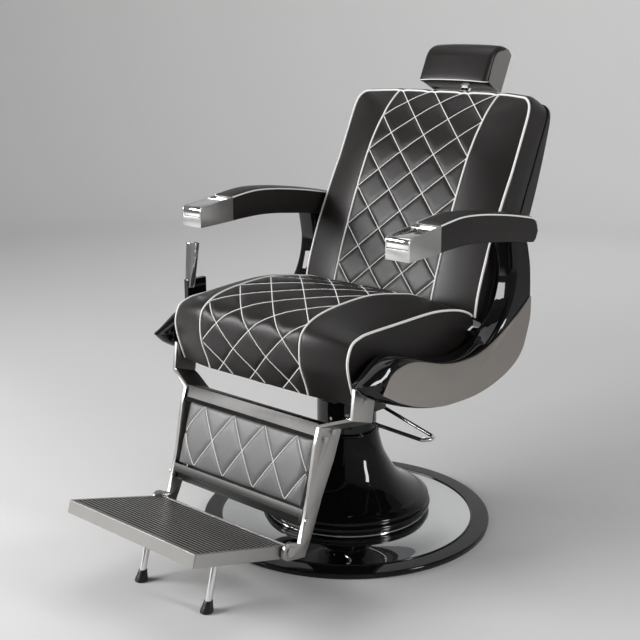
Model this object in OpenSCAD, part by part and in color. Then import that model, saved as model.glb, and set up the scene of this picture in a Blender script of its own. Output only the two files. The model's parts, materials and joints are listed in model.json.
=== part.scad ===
// A padded swivel chair on a hydraulic pedestal, for a barber's shop.
// Millimetres. +Z is up, the sitter faces -Y and the sitter's left is +X.
// The origin is the centre of the foot ring, on the floor and on the column's axis.

/* [Base] */
// Radius of the round foot ring
foot_r = 340; // [325:5:370]
// Width of the foot ring
foot_ring_w = 44; // [34:2:54]
// Height of the foot ring
foot_ring_h = 12.5; // [10:0.5:16]
// Rise of the domed plate inside the ring
dome_rise = 6; // [4:0.5:9]
// Largest radius of the bell cover
bell_r = 199; // [185:1:210]
// Height of the bell cover
bell_h = 200; // [190:2:230]
// Radius of the bell's neck
neck_r = 75; // [74:1:80]
// Radius of the pump housing above the bell
housing_r = 70; // [68:1:72]
// Height of the pump housing above the bell
housing_h = 74; // [70:1:90]
// Radius of the lifting ram
ram_r = 30; // [26:1:32]

/* [Pump lever] */
// Thickness of the lever's bent rod
lever_rod_d = 9; // [8:0.5:10]
// Reach of the lever's nose from the column's axis
lever_reach = 252; // [220:2:270]
// Distance between the lever's two legs
lever_gap = 100; // [98:1:104]

/* [Seat] */
// Width of the seat cushion
seat_w = 508; // [480:2:512]
// Height of the seat cushion at its crown
seat_h = 179; // [160:1:190]
// Width of the quilted middle panel
quilt_w = 294; // [240:2:320]
// Width of one quilted diamond
diamond_w = 98; // [80:1:110]
// Depth of the sewn lines between the diamonds
quilt_depth = 5; // [2:0.5:7]

/* [Side shells] */
// Distance between the inner faces of the two shells
shell_gap = 540; // [536:2:552]
// Thickness of one shell with its metal panel
shell_t = 58; // [52:1:62]
// Length of a shell from its nose to its tail
shell_l = 591; // [580:1:600]
// Height of a shell from its belly to the foot of the arm rest
shell_h = 327; // [318:1:330]
// Thickness of the metal side panel
panel_t = 3; // [2:0.5:4]

/* [Arm rests] */
// Width of an arm rest
arm_w = 61; // [54:1:70]
// Height of an arm rest
arm_h = 50; // [44:1:56]
// Length of an arm pad behind the metal block
arm_pad_l = 368; // [350:2:380]
// Length of the metal block
block_l = 103; // [90:1:110]

/* [Back rest] */
// Width of the back rest
back_w = 512; // [480:2:516]
// Height of the back rest above its lower edge
back_h = 552; // [500:2:600]
// Lean of the back rest from upright
back_tilt = 25; // [20:1:30]
// Thickness of the back cushion in front of its board
back_cushion_t = 107; // [90:1:115]
// Thickness of the padded rear cover
rear_cover_t = 51; // [44:1:56]

/* [Head rest] */
// Width of the head rest
head_w = 200; // [180:2:240]
// Height of the head rest
head_h = 106; // [95:1:120]
// Depth of the head rest
head_d = 74; // [66:1:84]
// How far the head rest slides up
head_travel = 80; // [50:5:100]

/* [Leg rest] */
// Distance between the outer faces of the leg rest's lower bars
leg_w = 408; // [396:2:416]
// Thickness of the bent bars
bar_t = 8; // [6:0.5:8]
// Length of the leg rest from its pivot to the foot plate's pivot
leg_l = 353.5; // [340:1:370]
// Lean of the leg rest from upright
leg_tilt = 17.5; // [14:0.5:20]
// Thickness of the calf pad
calf_t = 34; // [28:1:40]

/* [Foot plate] */
// Length of the foot plate
plate_l = 259; // [230:2:280]
// Height of the foot plate's rim
plate_t = 27; // [22:1:30]
// Rise of the foot plate towards its front edge
plate_tilt = 15.5; // [12:0.5:18]
// Number of ribs across the foot plate
rib_count = 21; // [15:1:25]
// Thickness of a prop leg
prop_d = 15; // [12:0.5:18]

/* [Hidden] */
// Overrun of every cut, and the clearances of a seated face, a screw hole and a running pin
cut = 1;
gap = 0.3;
fit = 0.15;
slip = 0.08;

// Heights of the base, from the floor up
mat_t = 3;
mat_inset = 2;
ring_edge_r = 4;
ring_bead_w = 5;
dome_inner_r = 190;
plate_top = foot_ring_h + dome_rise;
neck_z = plate_top + bell_h;
collar_h = 7.5;
collar_w = 7;
housing_z = neck_z + collar_h;
housing_top = housing_z + housing_h;
bell_wall = 4;
bell_foot_step = 10;
bead_pitch = 16;
bead_count = 3;
bead_facets = 8;
bead_depth = 6;
housing_wall = 5;
housing_skirt = 20;
cap_t = 5;
cylinder_r = 40;
cylinder_wall = 6;
flange_r = 80;
flange_t = 12;
flange_bolt_count = 6;
flange_bolt_pcd = 128;
bolt_r = 5;
bolt_head_r = 9;
bolt_head_h = 6;
bolt_bite = 10;
gland_t = 12;
gland_edge = 2;
piston_t = 12;
ram_rest_gap = 2.5;
ram_z = plate_top + flange_t + piston_t + ram_rest_gap;
bearing_t = 4;
bearing_r = 28;

// Pump lever
lever_pin_r = 4;
lever_eye_r = 9;
rod_facets = 16;
lever_axis_x = 10;
lever_axis_rise = 36;
lever_axis_z = housing_z + lever_axis_rise;
lever_entry_r = 53;
lever_kink_r = 71;
lever_entry_rise = 3;
lever_kink_rise = 12;
lever_nose_drop = 10;
lever_nose_r = 20;
lever_slot_up = 14;
lever_slot_down = 22;
lever_slot_side = 7;

// Swivel hub, seat frame and seat board
hub_gap = 3;
hub_h = 42;
hub_r = 50;
hub_flange_r = 95;
hub_flange_t = 12;
hub_z = housing_top + hub_gap;
frame_z = hub_z + hub_h;
frame_h = 45;
frame_plate_w = 240;
frame_plate_l = 200;
frame_plate_t = 8;
rail_w = 30;
rail_span = 190;
beam_h = 30;
front_beam_w = 35;
rear_beam_y = 100;
rear_beam_w = 35;
tab_t = 8;
tab_h = 80;
board_t = 12;
board_w = 480;
board_z = frame_z + frame_h;
seat_z = board_z + board_t;

// Hinges: the back, the leg rest and the side shells hang from these
hinge_y = 165;
hinge_rise = 53;
hinge_pin_r = 8;
hinge_eye_r = 18;
hinge_plate_t = 6;
hinge_plate_x = 236;
hinge_head_r = 13;
hinge_head_t = 4;
hinge_z = seat_z + hinge_rise;
shell_in = shell_gap / 2;
shell_tail_reach = 101;
shell_tail_y = hinge_y + shell_tail_reach;
shell_nose_y = shell_tail_y - shell_l;
shell_belly_drop = 49;
shell_z = seat_z - shell_belly_drop;
leg_setback = 80;
leg_rise = 30;
leg_y = shell_nose_y + leg_setback;
beam_setback = 60;
front_beam_y = leg_y + beam_setback;
board_ahead = 12;
board_l = rear_beam_y - leg_y + board_ahead;
leg_z = seat_z + leg_rise;
leg_pin_r = 7;
leg_eye_r = 20;
leg_head_r = 11;
leg_head_t = 5;
leg_pin_bite = 20;

// Seat cushion
seat_setback = 53;
seat_rear_y = hinge_y - seat_setback;
seat_inset = 3;
seat_front_y = shell_nose_y + seat_inset;
seat_d = seat_rear_y - seat_front_y;
diamond_count = max(1, round(quilt_w / diamond_w));
quilt_pitch = quilt_w / (4 * diamond_count);
quilt_rows = 26;
seam_depth = 3;
bolster_power = 1.6;
bolster_shares = [0.23, 0.5, 0.74, 0.9, 1];
seat_rear_shares = [[1, 0], [1, 0.425], [1.055, 0.475], [1.062, 0.51]];
seat_middle_shares = [
    [1.01, 0.575], [1, 0.71], [0.88, 0.838], [0.776, 0.905], [0.523, 0.994], [0.286, 0.978],
    [0.122, 0.916], [0.03, 0.8], [0.002, 0.648], [0.005, 0.397], [0.035, 0.196], [0.067, 0]
];
seat_side_shares = [
    [1.035, 0.54], [1.008, 0.6], [0.88, 0.69], [0.68, 0.793], [0.403, 0.784], [0.212, 0.775],
    [0.147, 0.757], [0.088, 0.7], [0.06, 0.56], [0.06, 0.413], [0.085, 0.2], [0.115, 0]
];

// Side shells and their metal panels
shell_edge_r = 9;
nose_pull = 46;
nose_reach_share = 0.24;
shell_section_shares = [
    [0, 0.9, 0.75], [0.1, 0.25, 0.45], [0.28, 0, 0.12], [0.52, 0, 0],
    [0.76, 0.15, 0.3], [0.92, 0.45, 0.75], [1, 1, 1]
];
shell_top_shares = [
    [0, 0.324], [0.052, 0.372], [0.108, 0.424], [0.161, 0.452], [0.212, 0.448], [0.276, 0.418],
    [0.349, 0.371], [0.421, 0.333], [0.523, 0.306], [0.626, 0.314], [0.716, 0.352], [0.787, 0.44], [0.834, 0.547],
    [0.861, 0.664], [0.871, 0.777], [0.865, 0.878], [0.846, 1.04]
];
shell_rear_shares = [
    [0.951, 1.04], [0.985, 0.847], [0.996, 0.716], [1, 0.572], [0.995, 0.455], [0.976, 0.321], [0.949, 0.199],
    [0.893, 0.116], [0.79, 0.046], [0.638, 0.003], [0.464, 0.01], [0.364, 0.036], [0.267, 0.082],
    [0.173, 0.142], [0.083, 0.212], [0.036, 0.262]
];
panel_top_shares = [
    [0.083, 0.256], [0.103, 0.309], [0.125, 0.352], [0.164, 0.389], [0.215, 0.404], [0.261, 0.397],
    [0.308, 0.378], [0.406, 0.327], [0.481, 0.301], [0.558, 0.292], [0.646, 0.302], [0.736, 0.345], [0.807, 0.404],
    [0.91, 0.5], [0.985, 0.59]
];
panel_rear_shares = [
    [0.988, 0.5], [0.984, 0.42], [0.966, 0.321], [0.938, 0.215], [0.884, 0.135], [0.786, 0.066],
    [0.638, 0.022], [0.464, 0.028], [0.364, 0.056], [0.266, 0.104], [0.173, 0.17]
];

// Arm rests
arm_lift_share = 1.03058;
arm_z = shell_z + arm_lift_share * shell_h;
arm_x = shell_in + shell_t / 2;
arm_reach = 366.5;
arm_front_y = hinge_y - arm_reach;
pad_front_y = arm_front_y + block_l + gap;
arm_crown = 6;
arm_top_shares = [
    [0, 1.2], [0.186, 1.36], [0.357, 1.32], [0.534, 1.18],
    [0.719, 0.98], [0.909, 0.72], [0.971, 0.56], [1, 0.3]
];
arm_bottom_shares = [
    [0, 0.1], [0.197, 0.16], [0.365, 0.12], [0.545, -0.02],
    [0.69, -0.14], [0.955, -0.41], [0.98, -0.36], [1, -0.14]
];
arm_width_shares = [[0, 1], [0.91, 1], [0.955, 0.93], [0.98, 0.78], [1, 0.45]];
arm_station_shares = [0, 0.09, 0.186, 0.27, 0.357, 0.45, 0.545, 0.62, 0.69, 0.8, 0.88, 0.93, 0.955, 0.98, 1];
arm_ring_shares = [
    [-0.86, 0, 0], [0.86, 0, 0], [0.96, 0.03, 0], [1, 0.14, 0], [1, 1, 0], [0.9, 1, 0.42], [0.62, 1, 0.82],
    [0, 1, 1], [-0.62, 1, 0.82], [-0.9, 1, 0.42], [-1, 1, 0], [-1, 0.14, 0], [-0.96, 0.03, 0]
];
block_wall = 3;
block_nose_r = 9;
block_nose_turn = 97;
block_front_h = 46;
block_rear_h = 60;
block_front_drop = 5;
lid_t = 2.5;
lid_lip_h = 21;
lid_slot = 1.5;
lid_pin_r = 1.5;
lid_knuckle_r = 4;
lid_axis_inset = 32;
scoop_r = 11;
tray_floor_t = 8;

// Recline lever, on the sitter's right
tilt_setback = 60;
tilt_rise = 8;
tilt_lever_y = leg_y + tilt_setback;
tilt_lever_z = leg_z + tilt_rise;
tilt_lever_t = 8;
tilt_lever_w = 18;
tilt_hub_r = 12;
tilt_pin_r = 5;
tilt_pin_l = 34;
tilt_run_y = -31;
grip_l = 108;
grip_under = 32;
tilt_run_z = shell_z + shell_h - grip_under - grip_l - tilt_lever_z;
grip_lean_y = 13;
grip_top_r = 15.5;
grip_foot_r = 11.5;
tilt_slot_play = 2;

// Back rest, drawn upright in its own frame with the hinge at the origin
board_face_n = 18;
back_board_t = 6;
back_foot = 28;
back_plate_in = 243;
back_strap_l = 60;
back_corner_r = 28;
board_drop = 12;
shell_face_n = board_face_n + back_board_t;
cover_drop = 12;
cover_h = back_h - cover_drop;
bar_w = 17;
bar_t_head = 7;
bar_n = 28;
socket_w = 33;
socket_h = 26;
socket_d = 12;
bar_stay = 144;
bar_foot_v = back_foot + back_h - socket_h - head_travel - bar_stay;
channel_play = 1;
back_middle_shares = [
    [0, 0.995], [0.229, 1], [0.492, 0.972], [0.729, 0.888], [0.86, 0.806], [0.95, 0.725], [1, 0.621],
    [1, 0.442], [0.95, 0.241], [0.85, 0.058], [0.748, 0]
];
back_side_shares = [
    [0, 0.964], [0.355, 0.964], [0.636, 0.96], [0.704, 0.942], [0.707, 0.8], [0.712, 0.66], [0.738, 0.583],
    [0.768, 0.45], [0.774, 0.308], [0.7, 0.12], [0.56, 0]
];
cover_shares = [
    [0.8, 0], [0.94, 0.02], [1, 0.09], [1.04, 0.25], [1.03, 0.42], [1, 0.53], [0.9, 0.68], [0.7, 0.82],
    [0.46, 0.94], [0.33, 0.985], [0.15, 1]
];
cover_station_shares = [-1, -0.975, -0.93, -0.8, -0.4, 0, 0.4, 0.8, 0.93, 0.975, 1];
cover_round_shares = [[0, 1], [0.8, 1], [0.93, 0.97], [0.975, 0.9], [1, 0.76]];

// Head rest, in the same frame as the back rest
head_lift = 17;
head_foot_v = back_foot + back_h + head_lift;
head_pivot_rise = 11;
head_pivot_v = head_foot_v + head_pivot_rise;
head_eye_r = 7;
head_pin_r = 3.5;
cheek_t = 3;
head_behind = 10;
head_rear_n = bar_n + head_behind;
head_front_n = head_rear_n - head_d;
head_notch_w = 24;
head_notch_h = 43;
head_crown = 9;
head_hollow = 18.5;
cheek_shares = [
    [0, 0.03], [0, 0.5], [0.08, 0.7], [0.27, 0.86], [0.51, 0.94], [0.76, 0.97], [1, 0.91], [1, 0], [0.3, 0]
];
head_cushion_shares = [
    [0.8, 0.985], [0.6, 0.995], [0.4, 0.95], [0.22, 0.87], [0.08, 0.76], [0.01, 0.62], [0, 0.45], [0.02, 0.2],
    [0.06, 0.02], [0.755, 0.01], [0.755, 0.31], [0.95, 0.34], [0.95, 0.9]
];
head_station_shares = [-1, -0.93, -0.75, -0.45, 0, 0.45, 0.75, 0.93, 1];

// Leg rest, in its own frame with the hinge at the origin
leg_bar_w = 60;
leg_bend_shares = [0.184, 0.2645];
leg_bend_top = leg_bend_shares[0] * leg_l;
leg_bend_foot = leg_bend_shares[1] * leg_l;
foot_pivot_w = 63.6;
foot_eye_r = 19;
foot_pin_r = 6;
foot_pin_l = 18;
foot_head_r = 10;
foot_head_t = 4;
leg_screw_r = 3.5;
leg_screw_head_r = 6;
leg_screw_head_t = 3.5;
leg_front_shares = [
    [-0.767, -0.017], [-0.567, -0.192], [-0.867, -0.283], [-0.883, -0.385], [-0.683, -0.679], [-0.633, -0.956]
];
leg_rear_shares = [
    [-0.242, -1.035], [-0.11, -0.919], [0.025, -0.679], [0.25, -0.458],
    [0.317, -0.274], [0.5, -0.198], [0.333, 0]
];
upper_screw_drops = [13.6, 31];
lower_screw_drop = 3.2;
leg_screw_shares = [0.11, 0.448, 0.575];
crossbar_t = 3;
crossbar_h = 26;
crossbar_lip = 8;
crossbar_top_share = 0.25743;
crossbar_top_v = crossbar_top_share * leg_l;
crossbar_front_w = 47;
crossbar_lug = 8;
lower_bar_h = 18;
lower_bar_front_w = 41;
lower_bar_lip = 20;
calf_w = 370;
calf_gap = 5;
calf_share = 0.38755;
calf_h = calf_share * leg_l;
calf_front_w = 44;
calf_crown = 6;
calf_board_t = 6;
calf_station_shares = [-1, -0.975, -0.9, -0.66, -0.33, 0, 0.33, 0.66, 0.9, 0.975, 1];
calf_row_shares = [0, 0.06, 0.18, 0.34, 0.5, 0.66, 0.82, 0.94, 1];

// Foot plate, in its own frame with the hinge at the origin
plate_gap = 3;
plate_rear = 5.4;
plate_up_share = 0.374;
plate_rim_w = 18;
plate_corner_r = 10;
tread_t = 5;
rib_h = 3.5;
rib_share = 0.62;
rib_outline_shares = [[0.5, 0], [0.35, 1], [-0.35, 1], [-0.5, 0]];
prop_spread = 203;
prop_reach = 101.7;
prop_foot_r = 14;
prop_foot_h = 15;
prop_clear = 0.3;
foot_y = leg_y - foot_pivot_w * cos(leg_tilt) - leg_l * sin(leg_tilt);
foot_z = leg_z + foot_pivot_w * sin(leg_tilt) - leg_l * cos(leg_tilt);
prop_drop = (foot_z + prop_reach * sin(plate_tilt) - prop_foot_r - prop_clear) / cos(plate_tilt);

leather = "#221e1d";
gloss_black = "#101012";
satin_metal = "#8a857f";
frame_metal = "#a6a39b";
chrome = "#d3d6d8";
steel = "#9a9da0";
black_rubber = "#1c1c1c";
plywood = "#37322d";

// Points on a smooth curve through a list of key points
function spline_point(a, b, c, d, t) =
    (2 * b + (c - a) * t + (2 * a - 5 * b + 4 * c - d) * t * t + (3 * b - a - 3 * c + d) * t * t * t) / 2;
function curve(keys, steps) = concat(
    [for (i = [0 : len(keys) - 2], k = [0 : steps - 1])
        spline_point(keys[max(i - 1, 0)], keys[i], keys[i + 1], keys[min(i + 2, len(keys) - 1)], k / steps)],
    [keys[len(keys) - 1]]
);

// A path cut again into evenly spaced points
function run_lengths(path) = [
    for (i = 0, s = 0; i < len(path); s = s + (i + 1 < len(path) ? norm(path[i + 1] - path[i]) : 0), i = i + 1)
        s
];
function resample(path, count) =
    let (run = run_lengths(path), total = run[len(run) - 1])
    let (first = [for (i = [0 : len(path) - 1]) [run[i], path[i][0]]])
    let (second = [for (i = [0 : len(path) - 1]) [run[i], path[i][1]]])
    [for (k = [0 : count - 1]) let (s = total * k / (count - 1)) [lookup(s, first), lookup(s, second)]];

// Shares of a box turned into places, and two outlines mixed point by point
function place(shares, origin, size) =
    [for (s = shares) [origin[0] + s[0] * size[0], origin[1] + s[1] * size[1]]];
function mix(a, b, t) = [for (i = [0 : len(a) - 1]) a[i] * (1 - t) + b[i] * t];
function arc_points(centre, radius, from, to, steps) =
    [for (k = [0 : steps]) let (a = from + (to - from) * k / steps) centre + radius * [cos(a), sin(a)]];

// The direction that points into an outline at one of its points, and the outline drawn in by a distance
function inward(path, i) =
    let (n = len(path), t = path[(i + 1) % n] - path[(i + n - 1) % n])
    [-t[1], t[0]] / max(norm(t), slip);
function drawn_in(path, depth) = [for (i = [0 : len(path) - 1]) path[i] + depth * inward(path, i)];
function standing(path, x) = [for (p = path) [x, p[0], p[1]]];

// A ring closed off by one face, or by a strip that pairs its points from both ends where it bends inwards
function cap(n, zipped) = !zipped ? [[for (j = [0 : n - 1]) j]]
    : [for (j = [0 : ceil(n / 2) - 2])
        j + 1 == n - 2 - j ? [j, j + 1, n - 1 - j] : [j, j + 1, n - 2 - j, n - 1 - j]];

// A closed solid through rings of equal count, each seen anticlockwise from the last ring's end
module loft(rings, turned = function(i, j) false, zipped = false) {
    n = len(rings[0]);
    last = len(rings) - 1;
    polyhedron(
        points = [for (ring = rings, p = ring) p],
        faces = concat(
            cap(n, zipped),
            [for (i = [0 : last - 1], j = [0 : n - 1], half = [0, 1])
                let (a = i * n + j, b = i * n + (j + 1) % n, c = b + n, d = a + n)
                turned(i, j)
                    ? (half == 0 ? [a, d, b] : [b, d, c])
                    : (half == 0 ? [a, c, b] : [a, d, c])],
            [for (face = cap(n, zipped)) [for (j = [len(face) - 1 : -1 : 0]) last * n + face[j]]]
        )
    );
}

// An outline drawn in Y and Z, and made solid along X from x
module along_x(x, length) {
    translate([x, 0, 0]) rotate([90, 0, 90]) linear_extrude(length) children();
}

// A cylinder along X from x, at a place in Y and Z
module bar_along_x(x, length, radius, y, z) {
    translate([x, y, z]) rotate([0, 90, 0]) cylinder(h = length, r = radius, $fn = 48);
}

// A box between two corners
module block(low, high) {
    translate(low) cube(high - low);
}

// A straight round rod from one point to another
module rod(from, to, radius) {
    d = to - from;
    translate(from)
        rotate([0, acos(d[2] / norm(d)), atan2(d[1], d[0])])
            cylinder(h = norm(d), r = radius, $fn = 32);
}

// A rectangle with round corners, centred
module round_rect(size, radius) {
    square([size[0] - 2 * radius, size[1]], center = true);
    square([size[0], size[1] - 2 * radius], center = true);
    for (sx = [-1, 1], sy = [-1, 1])
        translate([sx * (size[0] / 2 - radius), sy * (size[1] / 2 - radius)]) circle(r = radius, $fn = 32);
}

module both_sides() {
    children();
    mirror([1, 0, 0]) children();
}

// Base: a weighted ring and domed plate, with a bell cover over the hydraulic column
module foot_ring() {
    inner = foot_r - foot_ring_w;
    color(gloss_black) rotate_extrude($fn = 128) polygon(concat(
        [[inner, mat_t], [foot_r - mat_inset, mat_t]],
        arc_points([foot_r - ring_edge_r, foot_ring_h - ring_edge_r], ring_edge_r, 0, 90, 6),
        arc_points([inner + ring_bead_w / 2, foot_ring_h], ring_bead_w / 2, 0, 180, 8)
    ));
}

module floor_mat() {
    color(black_rubber) cylinder(h = mat_t, r = foot_r - mat_inset, $fn = 128);
}

module flange_bolt_holes(depth_z) {
    for (k = [0 : flange_bolt_count - 1])
        rotate(k * 360 / flange_bolt_count)
            translate([flange_bolt_pcd / 2, 0, depth_z])
                cylinder(h = plate_top + flange_t - depth_z + cut, r = bolt_r + fit, $fn = 32);
}

module base_plate() {
    outer = foot_r - foot_ring_w - fit;
    color(chrome) difference() {
        rotate_extrude($fn = 128) polygon(concat(
            [[0, mat_t], [outer, mat_t], [outer, foot_ring_h]],
            [for (k = [1 : 5]) let (t = k / 6)
                [outer + (dome_inner_r - outer) * t, foot_ring_h + dome_rise * sin(90 * t)]],
            [[dome_inner_r, plate_top], [0, plate_top]]
        ));
        flange_bolt_holes(plate_top - bolt_bite);
    }
}

module bell_cover() {
    shoulder_shares = [
        [0.976, 0.25], [0.92, 0.31], [0.694, 0.42], [0.31, 0.535], [0.148, 0.655], [0.052, 0.8], [0, 1]
    ];
    beads = [for (b = [0 : bead_count - 1], k = [0 : bead_facets - 1])
        [bell_r - bead_depth * (1 - sin(180 * k / bead_facets)), plate_top + bead_pitch * (b + k / bead_facets)]];
    outside = concat(
        [[bell_r - bell_foot_step, plate_top]],
        [for (p = beads) if (p[1] > plate_top) p],
        curve(place(shoulder_shares, [neck_r, plate_top], [bell_r - neck_r, bell_h]), 4)
    );
    inside = [for (i = [len(outside) - 1 : -1 : 0])
        outside[i] - [bell_wall + (i < bead_count * bead_facets ? bead_depth : 0), 0]];
    color(gloss_black) rotate_extrude($fn = 128) polygon(concat(outside, inside));
}

module neck_ring() {
    inner = housing_r + gap;
    color(chrome) rotate_extrude($fn = 96) polygon(concat(
        [[inner, neck_z]],
        arc_points([inner + collar_w - collar_h / 2, neck_z + collar_h / 2], collar_h / 2, -90, 90, 10),
        [[inner, neck_z + collar_h]]
    ));
}

module pump_housing() {
    low = neck_z - housing_skirt;
    color("#232325") difference() {
        translate([0, 0, low]) cylinder(h = housing_top - low, r = housing_r, $fn = 96);
        translate([0, 0, low - cut])
            cylinder(h = housing_top - cap_t - low + cut, r = housing_r - housing_wall, $fn = 96);
        translate([0, 0, housing_top - cap_t - cut])
            cylinder(h = cap_t + 2 * cut, r = ram_r + lever_pin_r, $fn = 64);
        for (side = [-1, 1]) {
            block(
                [ram_r, side * lever_gap / 2 - lever_slot_side, lever_axis_z - lever_slot_down],
                [housing_r + cut, side * lever_gap / 2 + lever_slot_side, lever_axis_z + lever_slot_up]
            );
            translate([lever_axis_x, side * (housing_r + cut), lever_axis_z]) rotate([side * 90, 0, 0])
                cylinder(h = housing_r - lever_gap / 2, r = lever_pin_r + fit, $fn = 32);
        }
    }
}

module cylinder_tube() {
    top = housing_top - cap_t - gland_t;
    color(steel) difference() {
        union() {
            translate([0, 0, plate_top]) cylinder(h = flange_t, r = flange_r, $fn = 96);
            translate([0, 0, plate_top]) cylinder(h = top - plate_top, r = cylinder_r, $fn = 96);
        }
        translate([0, 0, plate_top + flange_t]) cylinder(h = top, r = cylinder_r - cylinder_wall, $fn = 64);
        flange_bolt_holes(plate_top - cut);
    }
}

module gland() {
    color(steel) translate([0, 0, housing_top - cap_t - gland_t]) difference() {
        cylinder(h = gland_t, r = cylinder_r + gland_edge, $fn = 64);
        translate([0, 0, -cut]) cylinder(h = gland_t + 2 * cut, r = ram_r + slip, $fn = 64);
    }
}

module flange_bolts() {
    top = plate_top + flange_t;
    color(steel) for (k = [0 : flange_bolt_count - 1])
        rotate(k * 360 / flange_bolt_count) translate([flange_bolt_pcd / 2, 0, 0]) {
            translate([0, 0, top]) cylinder(h = bolt_head_h, r = bolt_head_r, $fn = 6);
            translate([0, 0, plate_top - bolt_bite + gap])
                cylinder(h = top - plate_top + bolt_bite - gap, r = bolt_r, $fn = 32);
        }
}

module lever_pins() {
    inner = lever_gap / 2 - lever_rod_d / 2 - gap;
    outer = sqrt(pow(housing_r, 2) - pow(lever_axis_x + lever_pin_r, 2)) - gap;
    color(steel) for (side = [-1, 1])
        translate([lever_axis_x, side * inner, lever_axis_z]) rotate([-side * 90, 0, 0])
            cylinder(h = outer - inner, r = lever_pin_r, $fn = 32);
}

// Pump lever: one rod bent into a loop, with an eye at each end
// A round rod along a path of points, none of it upright
function rod_ring(path, i, radius) = let (
    d = path[min(i + 1, len(path) - 1)] - path[max(i - 1, 0)],
    side = cross(d, [0, 0, 1]) / norm(cross(d, [0, 0, 1])),
    up = cross(side, d) / norm(d)
) [for (k = [0 : rod_facets - 1]) let (a = -360 * k / rod_facets)
    path[i] + radius * (cos(a) * side + sin(a) * up)];

module bent_rod(path, radius) {
    loft([for (i = [0 : len(path) - 1]) rod_ring(path, i, radius)]);
}

module pump_lever() {
    r = lever_rod_d / 2;
    side_y = lever_gap / 2;
    nose = [lever_reach - lever_nose_r - r, 0, lever_axis_z - lever_nose_drop];
    leg = [
        [lever_axis_x + (lever_eye_r + lever_pin_r) / 2, side_y, lever_axis_z],
        [lever_entry_r, side_y, lever_axis_z + lever_entry_rise],
        [lever_kink_r, side_y, lever_axis_z + lever_kink_rise]
    ];
    turn = [for (p = arc_points([0, 0], lever_nose_r, 90, -90, 12)) nose + [p[0], p[1], 0]];
    color(chrome) {
        bent_rod(concat(leg, turn, [for (k = [2 : -1 : 0]) [leg[k][0], -side_y, leg[k][2]]]), r);
        for (side = [-1, 1])
            translate([lever_axis_x, side * side_y - r, lever_axis_z]) rotate([-90, 0, 0]) difference() {
                cylinder(h = lever_rod_d, r = lever_eye_r, $fn = 48);
                translate([0, 0, -cut]) cylinder(h = lever_rod_d + 2 * cut, r = lever_pin_r + slip, $fn = 32);
            }
    }
}

// Lift: the ram, its piston and the bearing that the seat turns on
module ram() {
    color(chrome) translate([0, 0, ram_z]) cylinder(h = hub_z + hub_h / 2 - ram_z, r = ram_r, $fn = 64);
}

module piston() {
    color(steel) translate([0, 0, ram_z - piston_t])
        cylinder(h = piston_t, r = cylinder_r - cylinder_wall - slip, $fn = 64);
}

module thrust_bearing() {
    color(steel) translate([0, 0, hub_z + hub_h / 2]) cylinder(h = bearing_t - gap, r = bearing_r, $fn = 64);
}

// Seat: hub, welded frame, board and quilted cushion
module swivel_hub() {
    color("#232325") difference() {
        union() {
            translate([0, 0, hub_z]) cylinder(h = hub_h, r = hub_r, $fn = 96);
            translate([0, 0, frame_z - hub_flange_t]) cylinder(h = hub_flange_t, r = hub_flange_r, $fn = 96);
        }
        translate([0, 0, hub_z - cut]) cylinder(h = hub_h / 2 + bearing_t + cut, r = ram_r + slip, $fn = 64);
    }
}

module hinge_eye_plate(x) {
    along_x(x, hinge_plate_t) difference() {
        hull() {
            translate([hinge_y, hinge_z]) circle(r = hinge_eye_r, $fn = 48);
            translate([rear_beam_y + rear_beam_w / 2, board_z - beam_h]) square([rear_beam_w / 2, beam_h]);
        }
        translate([hinge_y, hinge_z]) circle(r = hinge_pin_r + fit, $fn = 48);
    }
}

module seat_frame() {
    low = board_z - beam_h;
    side = shell_in;
    color("#232325") {
        translate([-frame_plate_w / 2, -frame_plate_l / 2, frame_z])
            cube([frame_plate_w, frame_plate_l, frame_plate_t]);
        for (s = [-1, 1]) translate([s * rail_span / 2 - rail_w / 2, front_beam_y, frame_z + frame_plate_t])
            cube([rail_w, rear_beam_y + rear_beam_w - front_beam_y, frame_h - frame_plate_t]);
        block([-side, front_beam_y, low], [side, front_beam_y + front_beam_w, board_z]);
        block([-side, rear_beam_y, low], [side, rear_beam_y + rear_beam_w, board_z]);
        both_sides() {
            block([side - tab_t, front_beam_y, low], [side, front_beam_y + front_beam_w, low + tab_h]);
            block([side - tab_t, rear_beam_y, low], [side, rear_beam_y + rear_beam_w, low + tab_h]);
            hinge_eye_plate(hinge_plate_x);
        }
    }
}

module seat_board() {
    color(plywood) translate([0, rear_beam_y - board_l / 2, board_z]) linear_extrude(board_t)
        round_rect([board_w, board_l], bolt_head_r);
}

// Stations across a quilted cushion: every quarter diamond, then along the plain side roll
function pad_stations(half) = let (
    middle = [for (k = [1 : 2 * diamond_count]) k * quilt_pitch],
    roll = [for (s = bolster_shares) quilt_w / 2 + s * (half - quilt_w / 2)],
    right = concat(middle, roll)
) concat([for (k = [len(right) - 1 : -1 : 0]) -right[k]], [0], right);
function roll_share(x, half) = pow(max(0, abs(x) - quilt_w / 2) / (half - quilt_w / 2), bolster_power);
function stitch_dip(x, j) = let (i = round(x / quilt_pitch))
    abs(x) > quilt_w / 2 + slip ? 0
    : abs(x) > quilt_w / 2 - slip ? max(seam_depth, quilt_depth)
    : quilt_depth * (1 - sqrt(abs(sin(45 * (i + j)) * sin(45 * (i - j)))));
function quilted(path, x) = [for (j = [0 : len(path) - 1])
    path[j] + stitch_dip(x, j) * inward(path, min(max(j, 1), len(path) - 2))];
function on_seam(i, j, half) = let (k = i - len(pad_stations(half)) / 2 + 1 / 2) (round(k) + 1 + j) % 4 == 0;

function seat_ring(x) = let (
    origin = [seat_front_y, seat_z],
    size = [seat_d, seat_h],
    keys = mix(seat_middle_shares, seat_side_shares, roll_share(x, seat_w / 2))
) standing(concat(
    quilted(resample(curve(place(keys, origin, size), 4), quilt_rows), x),
    place(seat_rear_shares, origin, size)
), x);

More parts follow.
